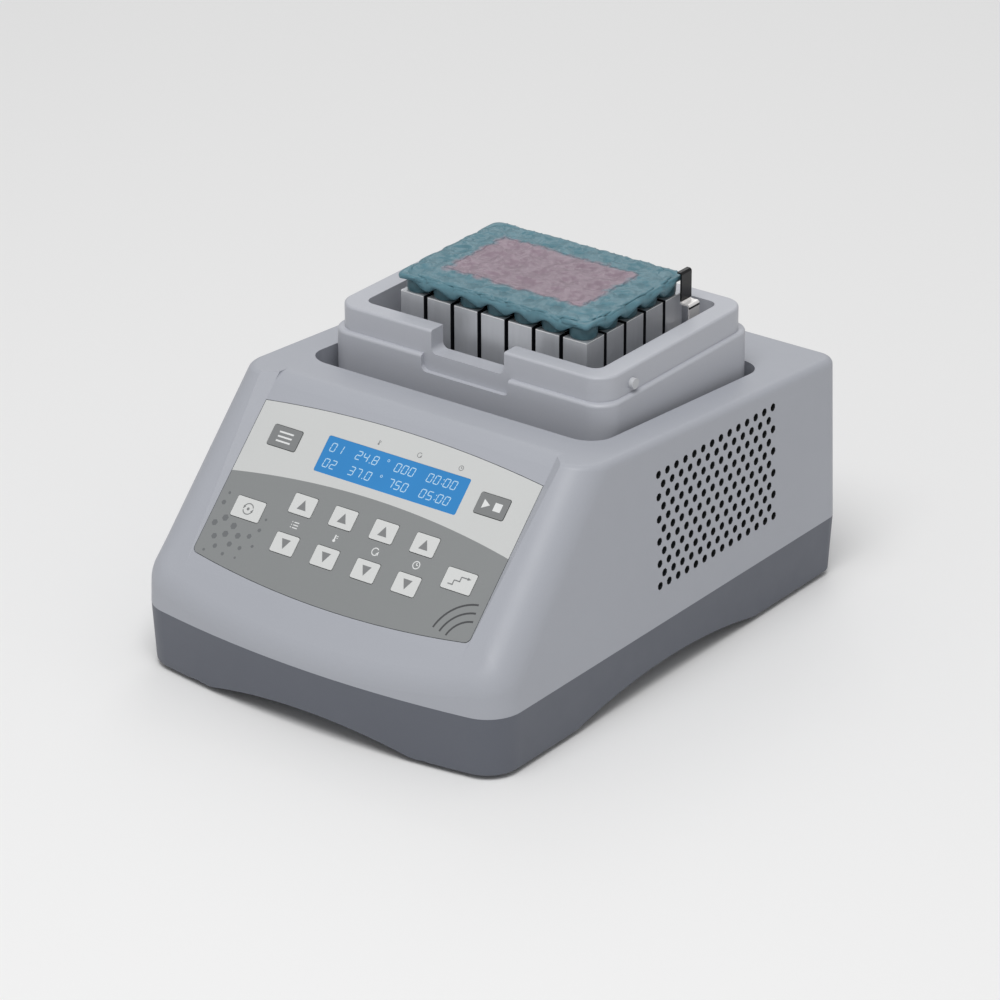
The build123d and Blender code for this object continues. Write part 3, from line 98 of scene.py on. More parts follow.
def all_of(tree, *masks):
    """1 where every mask is 1."""
    whole = masks[0]
    for mask in masks[1:]:
        whole = maths(tree, "MULTIPLY", whole, mask)
    return whole


def paint(finish, mask, colour):
    """Gives the finish another colour where the mask is 1."""
    tree = finish.node_tree
    shader = tree.nodes["Principled BSDF"]
    before = shader.inputs["Base Color"].links[0].from_socket
    after = add_node(tree, "ShaderNodeMix", {"Factor": mask, 6: before, 7: colour}, data_type="RGBA").outputs[2]
    tree.links.new(after, shader.inputs["Base Color"])


def dress(finish, *names):
    """Gives CAD nodes their finish."""
    for name in names:
        node = nodes[name]
        if not node.material_slots:
            node.data.materials.append(finish)
        for slot in node.material_slots:
            slot.material = finish


CLOUDS_PER_METRE = 14.0
SCUFFS_PER_METRE = 90.0
SCUFF_SHARE = 0.16
moulded, given, result = group_of(
    "moulded_surface",
    [("Colour", "Color", (0.5, 0.5, 0.5, 1)), ("Mottle", "Float", 0.03), ("Grain Size", "Float", 0.0004),
     ("Grain Depth", "Float", 0.00002), ("Roughness", "Float", 0.5)],
    [("Colour", "Color"), ("Roughness", "Float"), ("Normal", "Vector")],
)
place = add_node(moulded, "ShaderNodeTexCoord").outputs["Object"]
per_metre = maths(moulded, "DIVIDE", 1.0, given["Grain Size"])
grain = add_node(moulded, "ShaderNodeTexNoise", {"Vector": place, "Scale": per_metre, "Detail": 2.0}).outputs[0]
cloud = add_node(moulded, "ShaderNodeTexNoise", {"Vector": place, "Scale": CLOUDS_PER_METRE, "Detail": 3.0}).outputs[0]
scuff = add_node(moulded, "ShaderNodeTexNoise", {"Vector": place, "Scale": SCUFFS_PER_METRE, "Detail": 4.0}).outputs[0]
shade = maths(moulded, "MULTIPLY_ADD", maths(moulded, "SUBTRACT", cloud, 0.5), given["Mottle"], 1.0)
shade = maths(moulded, "MULTIPLY_ADD", maths(moulded, "SUBTRACT", grain, 0.5), given["Mottle"], shade)
tinted = add_node(moulded, "ShaderNodeVectorMath", {0: given["Colour"], "Scale": shade}, operation="SCALE")
rough = maths(moulded, "MULTIPLY_ADD", maths(moulded, "SUBTRACT", scuff, 0.5), SCUFF_SHARE, given["Roughness"])
bump = add_node(moulded, "ShaderNodeBump", {"Strength": 0.5, "Distance": given["Grain Depth"], "Height": grain})
moulded.links.new(tinted.outputs[0], result["Colour"])
moulded.links.new(rough, result["Roughness"])
moulded.links.new(bump.outputs[0], result["Normal"])

housing_plastic = start_finish(
    "housing_plastic", moulded,
    {"Colour": (0.395, 0.41, 0.452, 1), "Mottle": 0.05, "Grain Size": 0.0006, "Grain Depth": 0.00004,
     "Roughness": 0.46})
VENT_MIDDLE = (0.0375, 0.077)  # Y, Z
VENT_HALF = (0.0485, 0.031)
SIDE_X = 0.1022  # outer face at the parting line
SIDE_FOOT = 0.031
SIDE_DRAFT = tan(radians(1.9))
SIDE_SKIN = 0.00015
VENT_SHADE_DEPTH = 0.008
VENT_SHADE_COLOUR = (0.018, 0.02, 0.02, 1)
tree = housing_plastic.node_tree
x, y, z = place_of(tree)
# Painted shade: the walls inside the vent holes are painted near-black, for the shade deep in them.
side_face = maths(tree, "MULTIPLY_ADD", z, -SIDE_DRAFT, SIDE_X + SIDE_FOOT * SIDE_DRAFT - SIDE_SKIN)
vent_shaded = all_of(tree, maths(tree, "LESS_THAN", x, side_face), maths(tree, "GREATER_THAN", x, SIDE_X - VENT_SHADE_DEPTH),
               maths(tree, "COMPARE", y, VENT_MIDDLE[0], VENT_HALF[0]),
               maths(tree, "COMPARE", z, VENT_MIDDLE[1], VENT_HALF[1]))
paint(housing_plastic, vent_shaded, VENT_SHADE_COLOUR)
dress(housing_plastic, "upper_housing")

STUD_FROM = (0.0764, 0.1345)  # X to either side, Z
STUD_PALE = (0.53, 0.54, 0.56, 1)
# Painted highlight: the rim's plastic is set lighter than the housing's, for the brighter light on its top.
surround_plastic = start_finish(
    "surround_plastic", moulded,
    {"Colour": (0.465, 0.478, 0.52, 1), "Mottle": 0.05, "Grain Size": 0.0006, "Grain Depth": 0.00004,
     "Roughness": 0.42})
tree = surround_plastic.node_tree
x, _, z = place_of(tree)
stud = all_of(tree, maths(tree, "GREATER_THAN", maths(tree, "ABSOLUTE", x), STUD_FROM[0]),
              maths(tree, "GREATER_THAN", z, STUD_FROM[1]))
paint(surround_plastic, stud, STUD_PALE)
dress(surround_plastic, "block_surround")

# ------------------------------------------------------------------ base tray and feet
# The dark slate base is moulded with arched hand gaps on all four sides and stands on four turned
# rubber feet. The screws that close the case go up through it.
base_plastic = start_finish(
    "base_plastic", moulded,
    {"Colour": (0.114, 0.124, 0.151, 1), "Mottle": 0.08, "Grain Size": 0.0007, "Grain Depth": 0.00005,
     "Roughness": 0.5})
rubber = start_finish(
    "rubber", moulded,
    {"Colour": (0.018, 0.018, 0.02, 1), "Mottle": 0.2, "Grain Size": 0.0009, "Grain Depth": 0.00005,
     "Roughness": 0.72})
dress(base_plastic, "base_tray")
dress(rubber, "rubber_feet")

# ------------------------------------------------------------------ membrane overlay
# A printed polyester membrane glued into its bed on the sloped panel: pale above a shallow arc and
# mid grey below it, with a fine grain in the film.
MM = 0.001
PANEL_SLOPE = radians(45.2)
PANEL_PLACE = Vector((0, -98.962, 79.566))
UP_SLOPE = Vector((0, cos(PANEL_SLOPE), sin(PANEL_SLOPE)))
OUT_OF_PANEL = Vector((0, -sin(PANEL_SLOPE), cos(PANEL_SLOPE)))
ARC_TOP = 19.5
ARC_ENDS = 12.5
OVERLAY_HALF = 77.8
PALE = (0.60, 0.61, 0.605, 1)
MID_GREY = (0.245, 0.255, 0.258, 1)

overlay_film = start_finish(
    "overlay_film", moulded,
    {"Mottle": 0.03, "Grain Size": 0.00035, "Grain Depth": 0.00001, "Roughness": 0.38})
tree = overlay_film.node_tree
at = add_node(tree, "ShaderNodeTexCoord").outputs["Object"]
up = add_node(tree, "ShaderNodeVectorMath", {0: at, 1: UP_SLOPE}, operation="DOT_PRODUCT").outputs["Value"]
height = maths(tree, "SUBTRACT", up, UP_SLOPE.dot(PANEL_PLACE) * MM)
side = add_node(tree, "ShaderNodeSeparateXYZ", {0: at}).outputs["X"]
fall = (ARC_TOP - ARC_ENDS) * MM / (OVERLAY_HALF * MM) ** 2
arc = maths(tree, "MULTIPLY_ADD", maths(tree, "MULTIPLY", side, side), -fall, ARC_TOP * MM)
pale = maths(tree, "GREATER_THAN", height, arc)
tone = add_node(tree, "ShaderNodeMix", {"Factor": pale, 6: MID_GREY, 7: PALE}, data_type="RGBA").outputs[2]
film = next(node for node in tree.nodes if node.bl_idname == "ShaderNodeGroup")
tree.links.new(tone, film.inputs["Colour"])
dress(overlay_film, "panel_overlay")

# ------------------------------------------------------------------ printed marks
# Legends are screen-printed on the film and the key caps in white, grey and charcoal ink: plain
# pictograms for program, temperature, speed, time, menu, start and stop, mixing and steps.
INK = 0.03
INK_BED = 0.004


def object_from(mesh, name, smooth):
    """Turns a given mesh's faces outwards and puts it in the scene."""
    bmesh.ops.recalc_face_normals(mesh, faces=mesh.faces)
    for face in mesh.faces:
        face.smooth = smooth
    data = bpy.data.meshes.new(name)
    mesh.to_mesh(data)
    mesh.free()
    made = bpy.data.objects.new(name, data)
    bpy.context.collection.objects.link(made)
    return made


def piece_from(mesh, name, finish, body, smooth=False):
    """Keeps a given mesh as one piece that rides on a body."""
    piece = object_from(mesh, name, smooth)
    piece.data.materials.append(finish)
    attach(piece, body)


def on_panel(x, s, n):
    """A point of the panel, x across, s up the slope and n out of it, in millimetres, as metres."""
    return (PANEL_PLACE + Vector((x, 0, 0)) + UP_SLOPE * s + OUT_OF_PANEL * n) * MM


def turned(radius, start, end, steps, x=0.0, y=0.0):
    """Points of an arc, in degrees."""
    return [(x + radius * cos(radians(start + (end - start) * i / steps)),
             y + radius * sin(radians(start + (end - start) * i / steps))) for i in range(steps + 1)]


def band(points, width, closed=False):
    """The loop round a line of the given width, or its outer and inner loops where it closes."""
    left, right = [], []
    count = len(points)
    for i, (x, y) in enumerate(points):
        before = points[i - 1] if i or closed else points[0]
        after = points[(i + 1) % count] if i < count - 1 or closed else points[-1]
        dx, dy = after[0] - before[0], after[1] - before[1]
        length = hypot(dx, dy)
        nx, ny = -dy / length * width / 2, dx / length * width / 2
        left.append((x + nx, y + ny))
        right.append((x - nx, y - ny))
    return (left, right) if closed else (left + right[::-1], None)


def ink(name, shapes, finish, body, at=(0, 0), base=0.0):
    """One printed legend: loops in millimetres about at, standing an ink's thickness above base."""
    mesh = bmesh.new()
    for loop, hole in shapes:
        rings = []
        for line in (loop, hole):
            if line:
                rings.append([[mesh.verts.new(on_panel(at[0] + x, at[1] + y, n)) for x, y in line]
                              for n in (base + INK_BED, base + INK)])
        for low, high in rings:
            for i in range(len(low)):
                mesh.faces.new((low[i - 1], low[i], high[i], high[i - 1]))
        if hole:
            for level in (0, 1):
                outer, inner = rings[0][level], rings[1][level]
                for i in range(len(outer)):
                    mesh.faces.new((outer[i - 1], outer[i], inner[i], inner[i - 1]))
        else:
            mesh.faces.new(rings[0][0])
            mesh.faces.new(rings[0][1])
    piece_from(mesh, name, finish, body)


def ink_finish(name, colour):
    """A flat printing ink."""
    return start_finish(name, moulded, {"Colour": colour, "Mottle": 0.06, "Grain Size": 0.0002,
                                        "Grain Depth": 0.000005, "Roughness": 0.5})


white_ink = ink_finish("white_ink", (0.74, 0.75, 0.75, 1))
grey_ink = ink_finish("grey_ink", (0.21, 0.215, 0.22, 1))
charcoal_ink = ink_finish("charcoal_ink", (0.062, 0.064, 0.068, 1))
shadow_ink = ink_finish("shadow_ink", (0.15, 0.158, 0.165, 1))


def arrow_head(x, y, angle, size):
    """A solid arrow head that points along angle."""
    turn = radians(angle)
    return [(x + size * cos(turn + a), y + size * sin(turn + a)) for a in (0, 2.4, -2.4)], None


def dial(size, width):
    """Clock: a ring with two hands."""
    ring = band(turned(size, 0, 345, 23), width, True)
    return [ring, band([(0, 0), (0, size * 0.62)], width), band([(0, 0), (size * 0.5, 0)], width)]


def round_arrow(size, width):
    """Speed: an open circle with an arrow head."""
    return [band(turned(size, 40, 330, 20), width), arrow_head(size * 0.86, size * -0.28, 70, size * 0.62)]


def thermometer(size, width):
    """Temperature: a stem with a bulb and two ticks."""
    stem = band([(0, -size * 0.2), (0, size)], width * 1.5)
    bulb = (turned(size * 0.42, 0, 340, 17, 0, -size * 0.6), None)
    ticks = [band([(size * 0.4, size * k), (size * 0.85, size * k)], width * 0.8) for k in (0.2, 0.7)]
    return [stem, bulb] + ticks


def listing(size, width):
    """Program: three lines with dots before them."""
    rows = []
    for k in (-0.75, 0.0, 0.75):
        rows.append(band([(-size * 0.45, size * k), (size * 1.1, size * k)], width))
        rows.append((turned(width * 0.62, 0, 315, 7, -size * 1.0, size * k), None))
    return rows


COLUMN_FIRST = -33.4
COLUMN_PITCH = 22.85
LEGEND_ROW = -2.9
LEGEND_SHIFT = 0.4
LEGEND_SIZE = (1.75, 0.46)  # size, line width
KEY_ROWS = {"up": 6.9, "down": -12.6}
LEGENDS = (("program", listing), ("temperature", thermometer), ("speed", round_arrow), ("time", dial))
for column, (name, draw) in enumerate(LEGENDS):
    across = COLUMN_FIRST + column * COLUMN_PITCH
    ink("legend_" + name, draw(*LEGEND_SIZE), white_ink, "base", (across + LEGEND_SHIFT, LEGEND_ROW))

UNIT_ROW = 45.2
UNIT_SIZE = (1.15, 0.3)
UNITS = (("temperature", thermometer, -11.0), ("speed", round_arrow, 11.8), ("time", dial, 34.9))
for name, draw, across in UNITS:
    ink("unit_" + name, draw(*UNIT_SIZE), grey_ink, "base", (across, UNIT_ROW))

# Decoration: a drift of soft hexagons in the lower left corner and three ripples in the lower right.
# The hexagons lie on a spiral of even spacing and get smaller outwards; keys and edges are kept clear.
DRIFT_COUNT = 34
DRIFT_TURN = 2.39996
DRIFT_MIDDLE = (-66.0, -12.0)
DRIFT_SPREAD = 2.9
DRIFT_STRETCH = 1.25
DRIFT_TOP = 12
LOWER_EDGE = (-31.5, 40)  # the film's lower edge, and how gently it bows
EDGE_CLEARANCE = 0.8
HEXAGON = (1.75, 0.036)  # size of the first, and how much each is smaller than the last
KEYS_NEAR = ((-59.9, -2.5), (-33.4, 6.9), (-33.4, -12.6))
KEY_CLEARANCE = 10.5
drift = []
for i in range(DRIFT_COUNT):
    angle = i * DRIFT_TURN
    reach = DRIFT_SPREAD * sqrt(i + 0.6)
    x = DRIFT_MIDDLE[0] + reach * cos(angle) * DRIFT_STRETCH
    y = DRIFT_MIDDLE[1] + reach * sin(angle)
    size = HEXAGON[0] - HEXAGON[1] * i
    clear = all(hypot(x - kx, (y - ky) * 1.2) > KEY_CLEARANCE for kx, ky in KEYS_NEAR)
    above_edge = LOWER_EDGE[0] + (x / LOWER_EDGE[1]) ** 2 < y - size
    inside = abs(x) < OVERLAY_HALF - size - EDGE_CLEARANCE and above_edge and y < DRIFT_TOP
    if clear and inside:
        drift.append(([(x + size * cos(k * pi / 3 + 0.3), y + size * sin(k * pi / 3 + 0.3)) for k in range(6)], None))
ink("corner_hexagons", drift, shadow_ink, "base")
RIPPLE_MIDDLE = (77.0, -31.0)
RIPPLE_RADII = (12.0, 16.0, 20.0)
ripples = [band(turned(radius, 98, 168, 14, *RIPPLE_MIDDLE), 0.9) for radius in RIPPLE_RADII]
ink("corner_ripples", ripples, charcoal_ink, "base")

# ------------------------------------------------------------------ keys
# Twelve caps of satin film-capped plastic: eight light arrow keys, two light and two dark wide keys.
# Each cap carries its printed mark and moves with it.
light_key = start_finish(
    "light_key", moulded,
    {"Colour": (0.66, 0.67, 0.665, 1), "Mottle": 0.03, "Grain Size": 0.0003, "Grain Depth": 0.00001,
     "Roughness": 0.35})
dark_key = start_finish(
    "dark_key", moulded,
    {"Colour": (0.215, 0.222, 0.225, 1), "Mottle": 0.04, "Grain Size": 0.0003, "Grain Depth": 0.00001,
     "Roughness": 0.35})
KEY_FACE = 0.25
for column, (name, _) in enumerate(LEGENDS):
    for way, sign in (("up", 1), ("down", -1)):
        key = f"key_{name}_{way}"
        dress(light_key, key)
        triangle = [(-2.5, -2.3 * sign), (2.5, -2.3 * sign), (0, 2.5 * sign)]
        ink("mark_" + key[4:], [(triangle, None)], grey_ink, key,
            (COLUMN_FIRST + column * COLUMN_PITCH, KEY_ROWS[way]), KEY_FACE)

swirl = [band(turned(2.6, 20, 160, 12), 0.5), band(turned(2.6, 200, 340, 12), 0.5),
         arrow_head(-2.5, 0.4, 250, 1.0), arrow_head(2.5, -0.4, 70, 1.0),
         (turned(0.75, 0, 330, 11), None)]
stairs = [band([(-5.0, -2.4), (-2.2, -2.4)], 0.55), band([(-2.5, -2.4), (-2.5, -0.2)], 0.55),
          band([(-2.5, -0.2), (0.8, -0.2)], 0.55), band([(0.5, -0.2), (0.5, 2.0)], 0.55),
          band([(0.5, 2.0), (4.6, 2.0)], 0.55), arrow_head(4.6, 2.0, 0, 1.1)]
bars = [band([(-4.0, k), (4.0, k)], 0.8) for k in (-2.2, 0.0, 2.2)]
play_stop = [([(-5.0, -2.2), (-1.2, 0), (-5.0, 2.2)], None), band([(1.0, 0), (5.0, 0)], 4.0)]
WIDE_KEYS = {
    "menu": ((-58.9, 34.1), "dark_key", dark_key, white_ink, bars),
    "start_stop": ((58.5, 32.9), "dark_key", dark_key, white_ink, play_stop),
    "quick_mix": ((-59.9, -2.5), "light_key", light_key, grey_ink, swirl),
    "multi_step": ((59.6, -3.7), "light_key", light_key, grey_ink, stairs),
}
for name, (place, slot, cap, colour, shapes) in WIDE_KEYS.items():
    dress(cap, "key_" + name)
    ink("mark_" + name, shapes, colour, "key_" + name, place, KEY_FACE)

# ------------------------------------------------------------------ display
# A backlit blue liquid-crystal module fills the window to its edges. The lit segments are shown as
# pale figures: program, temperature, speed and time, measured above and set below.
LCD_PLACE = (2.65, 32.8)
FIGURE_HEIGHT = 0.03
FADE = 0.86
LCD_DARK = (0.004, 0.01, 0.02, 1)


def glowing(name, colour, strength, speckle):
    """A self-lit finish whose brightness wavers a little over the surface."""
    finish = bpy.data.materials.new(name)
    finish.use_nodes = True
    tree = finish.node_tree
    shader = tree.nodes["Principled BSDF"]
    shader.inputs["Roughness"].default_value = 0.22
    shader.inputs["Emission Strength"].default_value = strength
    at = add_node(tree, "ShaderNodeTexCoord").outputs["Object"]
    haze = add_node(tree, "ShaderNodeTexNoise", {"Vector": at, "Scale": speckle}).outputs[0]
    faded = tuple(part * FADE for part in colour[:3]) + (1,)
    lit = add_node(tree, "ShaderNodeMix", {"Factor": haze, 6: faded, 7: colour}, data_type="RGBA").outputs[2]
    tree.links.new(lit, shader.inputs["Emission Color"])
    shader.inputs["Base Color"].default_value = LCD_DARK
    return finish


display_blue = glowing("display", (0.028, 0.235, 0.57, 1), 1.0, 30.0)
display_ink = glowing("lit_segments", (0.50, 0.72, 0.88, 1), 1.0, 30.0)
dress(display_blue, "display_module", "display_window")

SEGMENTS = {"0": "abcdef", "1": "bc", "2": "abged", "3": "abgcd", "4": "fgbc", "5": "afgcd",
            "6": "afgedc", "7": "abc", "8": "abcdefg", "9": "abcdfg"}
STROKES = {"a": ((-1, 2), (1, 2)), "b": ((1, 2), (1, 0)), "c": ((1, 0), (1, -2)), "d": ((-1, -2), (1, -2)),
           "e": ((-1, 0), (-1, -2)), "f": ((-1, 2), (-1, 0)), "g": ((-1, 0), (1, 0))}
FIGURE_LEAN = 0.14
FIGURE_STEP = 3.9
DOT_STEP = 1.5
HALF_WIDTH = 1.25
STROKE = 0.42
STROKE_TRIM = 0.16


def figures(text, x, y):
    """Seven-segment figures; a dot or a colon takes less room."""
    shapes = []
    for mark in text:
        if mark in ".:":
            for level in ((-1.9,) if mark == "." else (-1.1, 1.1)):
                left = x - 1.0 + level * FIGURE_LEAN
                shapes.append(band([(left, y + level), (left + 0.45, y + level)], 0.5))
            x += DOT_STEP
            continue
        for stroke in SEGMENTS.get(mark, ""):
            (x0, y0), (x1, y1) = [(px * HALF_WIDTH, py) for px, py in STROKES[stroke]]
            trim = STROKE_TRIM / hypot(x1 - x0, y1 - y0)
            ends = [(x0 + (x1 - x0) * t, y0 + (y1 - y0) * t) for t in (trim, 1 - trim)]
            shapes.append(band([(x + px + py * FIGURE_LEAN, y + py) for px, py in ends], STROKE))
        x += FIGURE_STEP
    return shapes


LCD_COLUMNS = (-35.0, -20.5, 1.5, 19.5)
LCD_ROWS = ((3.9, ("01", "24.8", "000", "00:00")), (-3.9, ("02", "37.0", "750", "05:00")))
DEGREE_MARK = (0.55, -4.6, 1.8)  # radius, X, and height over the middle of the row
lit = []
for row, texts in LCD_ROWS:
    for text, across in zip(texts, LCD_COLUMNS):
        lit += figures(text, across, row)
    radius, across, high = DEGREE_MARK
    lit.append(band(turned(radius, 0, 330, 11, across, row + high), 0.25, True))
ink("lit_figures", lit, display_ink, "base", LCD_PLACE, FIGURE_HEIGHT)

# ------------------------------------------------------------------ microtubes
# Thirty-five closed 1.5 ml microtubes of thin tinted polypropylene stand in the block: twenty teal
# ones round the edge and fifteen pink ones inside. Their soft square lids are joined by a scalloped
# skirt and by one dimpled, creased skin, whose two colours run into one another.
BLOCK_TOP = 151.6
MIX_Y = 40.0
TUBE_PITCH = 15.3
TUBE_COLUMNS, TUBE_ROWS = 7, 5
LID_LEAN = 0.018
SIDES = 40
CORNER_REACH = 1.27
BODY_RINGS = ((1.8, -31.0, 0, 0), (3.3, -26.0, 0, 0), (5.3, -14.0, 0, 0), (5.35, 0.1, 0, 0), (5.9, 0.12, 0, 0),
              (6.25, 0.9, 0, 0), (6.45, 2.6, 0, 0), (6.55, 4.6, 0, 0), (6.5, 7.0, 0, 0))
LID_TAB = ((0.4, -7.5, 8.6), (2.3, 1.2, 0.6))  # middle and half sizes
LID_HINGE = ((2.2, 7.3, 8.6), (0.8, 1.4, 0.65))
LID_RINGS = ((6.3, 7.0, 0, 0), (6.9, 6.6, 0.3, 0.3), (7.5, 6.8, 0.8, 0.7), (7.8, 7.3, 1, 1.0), (7.95, 8.0, 1, 1.0),
             (7.95, 8.5, 1, 0.8), (7.85, 8.95, 1, 0.6), (7.4, 9.25, 1, 0.45), (6.7, 9.3, 0.9, 0.3),
             (5.8, 9.1, 0.6, 0.1), (4.8, 8.5, 0.3, 0), (3.8, 8.1, 0.1, 0), (1.2, 8.0, 0, 0))


def lathe(mesh, rings):
    """A closed form of stacked loops: radius, height, how square, and how far the corners sag."""
    loops = []
    for radius, z, square, sag in rings:
        loop = []
        for i in range(SIDES):
            angle = 2 * pi * (i + 0.5) / SIDES
            grown = 1 / max(abs(cos(angle)), abs(sin(angle)))
            reach = radius * (1 + (min(grown, CORNER_REACH) - 1) * square)
            corner = (grown - 1) / (sqrt(2) - 1)
            loop.append(mesh.verts.new((reach * cos(angle) * MM, reach * sin(angle) * MM,
                                        (z - sag * corner ** 1.5) * MM)))
        loops.append(loop)
    for low, high in zip(loops, loops[1:]):
        for i in range(SIDES):
            mesh.faces.new((low[i - 1], low[i], high[i], high[i - 1]))
    mesh.faces.new(loops[0][::-1])
    mesh.faces.new(loops[-1])


def pillow(mesh, at, half):
    """A rounded strap or tab: a squashed ball."""
    made = bmesh.ops.create_uvsphere(mesh, u_segments=12, v_segments=8, radius=MM)["verts"]
    for vert in made:
        vert.co = Vector([(vert.co[k] / MM * half[k] + at[k]) * MM for k in range(3)])


def template(name, build):
    """A pattern piece for the rack, which is used by the rack's tree and then taken away."""
    mesh = bmesh.new()
    build(mesh)
    return object_from(mesh, name, smooth=True)


def build_lid(mesh):
    """A lid with its thumb tab in front and the two straps of its hinge behind."""
    lathe(mesh, LID_RINGS)
    pillow(mesh, *LID_TAB)
    (across, along, high), half = LID_HINGE
    for side in (-1, 1):
        pillow(mesh, (side * across, along, high), half)


tube_body = template("tube_body", lambda mesh: lathe(mesh, BODY_RINGS))
tube_lid = template("tube_lid", build_lid)

rack = bpy.data.node_groups.new("tube_rack", "GeometryNodeTree")
for label, kind in (("Pitch", "Float"), ("Columns", "Int"), ("Rows", "Int"), ("Inner", "Bool"),
                    ("Middle", "Vector"), ("Lean", "Float"), ("Seed", "Int"), ("Body", "Object"),
                    ("Lid", "Object"), ("Finish", "Material")):
    rack.interface.new_socket(name=label, in_out="INPUT", socket_type="NodeSocket" + kind)
rack.interface.new_socket(name="Geometry", in_out="OUTPUT", socket_type="NodeSocketGeometry")
given = rack.nodes.new("NodeGroupInput").outputs
last = rack.nodes.new("NodeGroupOutput")


def span(count):
    """The distance from the first tube of a row to its last."""
    return maths(rack, "MULTIPLY", maths(rack, "SUBTRACT", count, 1.0), given["Pitch"])


def within(axis, count):
    """True for places inside the outermost line of tubes along one axis."""
    where = add_node(rack, "ShaderNodeSeparateXYZ", {0: add_node(rack, "GeometryNodeInputPosition").outputs[0]})
    reach = maths(rack, "SUBTRACT", maths(rack, "MULTIPLY", span(count), 0.5), 0.001)
    return maths(rack, "LESS_THAN", maths(rack, "ABSOLUTE", where.outputs[axis]), reach)


def scatter(low, high, seed_shift):
    """A random vector for each tube."""
    shifted = maths(rack, "ADD", given["Seed"], seed_shift)
    return add_node(rack, "FunctionNodeRandomValue", {0: low, 1: high, "Seed": shifted},
                    data_type="FLOAT_VECTOR").outputs[0]


grid = add_node(rack, "GeometryNodeMeshGrid", {
    "Size X": span(given["Columns"]), "Size Y": span(given["Rows"]),
    "Vertices X": given["Columns"], "Vertices Y": given["Rows"]}).outputs["Mesh"]
inside = maths(rack, "MULTIPLY", within("X", given["Columns"]), within("Y", given["Rows"]))
chosen = add_node(rack, "FunctionNodeBooleanMath", {0: inside, 1: given["Inner"]}, operation="XNOR").outputs[0]
lean = add_node(rack, "ShaderNodeVectorMath",
                {0: scatter((-1, -1, -2.5), (1, 1, 2.5), 1.0), "Scale": given["Lean"]}, operation="SCALE").outputs[0]
turn = add_node(rack, "FunctionNodeEulerToRotation", {0: lean}).outputs[0]
swell = scatter((0.985, 0.985, 0.97), (1.015, 1.015, 1.02), 2.0)
stands = []
for part, extras in (("Body", {}), ("Lid", {"Rotation": turn, "Scale": swell})):
    shape = add_node(rack, "GeometryNodeObjectInfo", {"Object": given[part]}).outputs["Geometry"]
    stands.append(add_node(rack, "GeometryNodeInstanceOnPoints",
                           {"Points": grid, "Selection": chosen, "Instance": shape, **extras}).outputs[0])
joined = add_node(rack, "GeometryNodeJoinGeometry")
for stand in stands:
    rack.links.new(stand, joined.inputs[0])
moved = add_node(rack, "GeometryNodeTransform",
                 {"Geometry": joined.outputs[0], "Translation": given["Middle"]}).outputs[0]
whole = add_node(rack, "GeometryNodeRealizeInstances", {0: moved}).outputs[0]
dyed = add_node(rack, "GeometryNodeSetMaterial", {"Geometry": whole, "Material": given["Finish"]}).outputs[0]
rack.links.new(dyed, last.inputs[0])


def grow(name, tree, values):
    """Runs a tree with its named inputs and keeps the result as a plain mesh piece."""
    holder = bpy.data.objects.new(name + "_holder", bpy.data.meshes.new(name + "_holder"))
    bpy.context.collection.objects.link(holder)
    modifier = holder.modifiers.new(name, "NODES")
    modifier.node_group = tree
    for item in tree.interface.items_tree:
        if item.in_out == "INPUT" and item.name in values:
            modifier[item.identifier] = values[item.name]
    bpy.context.view_layer.update()
    grown = holder.evaluated_get(bpy.context.evaluated_depsgraph_get())
    piece = bpy.data.objects.new(name, bpy.data.meshes.new_from_object(grown))
    bpy.data.objects.remove(holder)
    bpy.context.collection.objects.link(piece)
    return piece


def tinted_plastic(name, mottle):
    """Thin clouded polypropylene that lets some light through; its colour is laid on below."""
    return start_finish(
        name, moulded, {"Mottle": mottle, "Grain Size": 0.003, "Grain Depth": 0.0006, "Roughness": 0.33},
        Transmission_Weight=0.25, IOR=1.35)


teal_tube = tinted_plastic("teal_tube", 0.4)
pink_tube = tinted_plastic("pink_tube", 0.35)
SHEET_TEAL = (0.13, 0.272, 0.33, 1)
SHEET_PINK = (0.355, 0.27, 0.325, 1)
OUTER_HALF = (54.3, 38.9)
INNER_HALF = (38.25, 22.95)
BLEND_HALF = 1.6
BLEND_WAVER = (160.0, 9.0)  # noise scale, and reach in millimetres
CUP_REACH = 6.7
CUP_TOP = 6.2
CUP_PAINTED_SHADE = 0.42


def from_axes(tree, x, y):
    """Y from the block's middle, and how far the place lies along X and Y from the nearest tube axis."""
    y = maths(tree, "SUBTRACT", y, MIX_Y * MM)
    half_pitch = TUBE_PITCH * MM / 2
    return y, maths(tree, "PINGPONG", x, half_pitch), maths(tree, "PINGPONG", y, half_pitch)
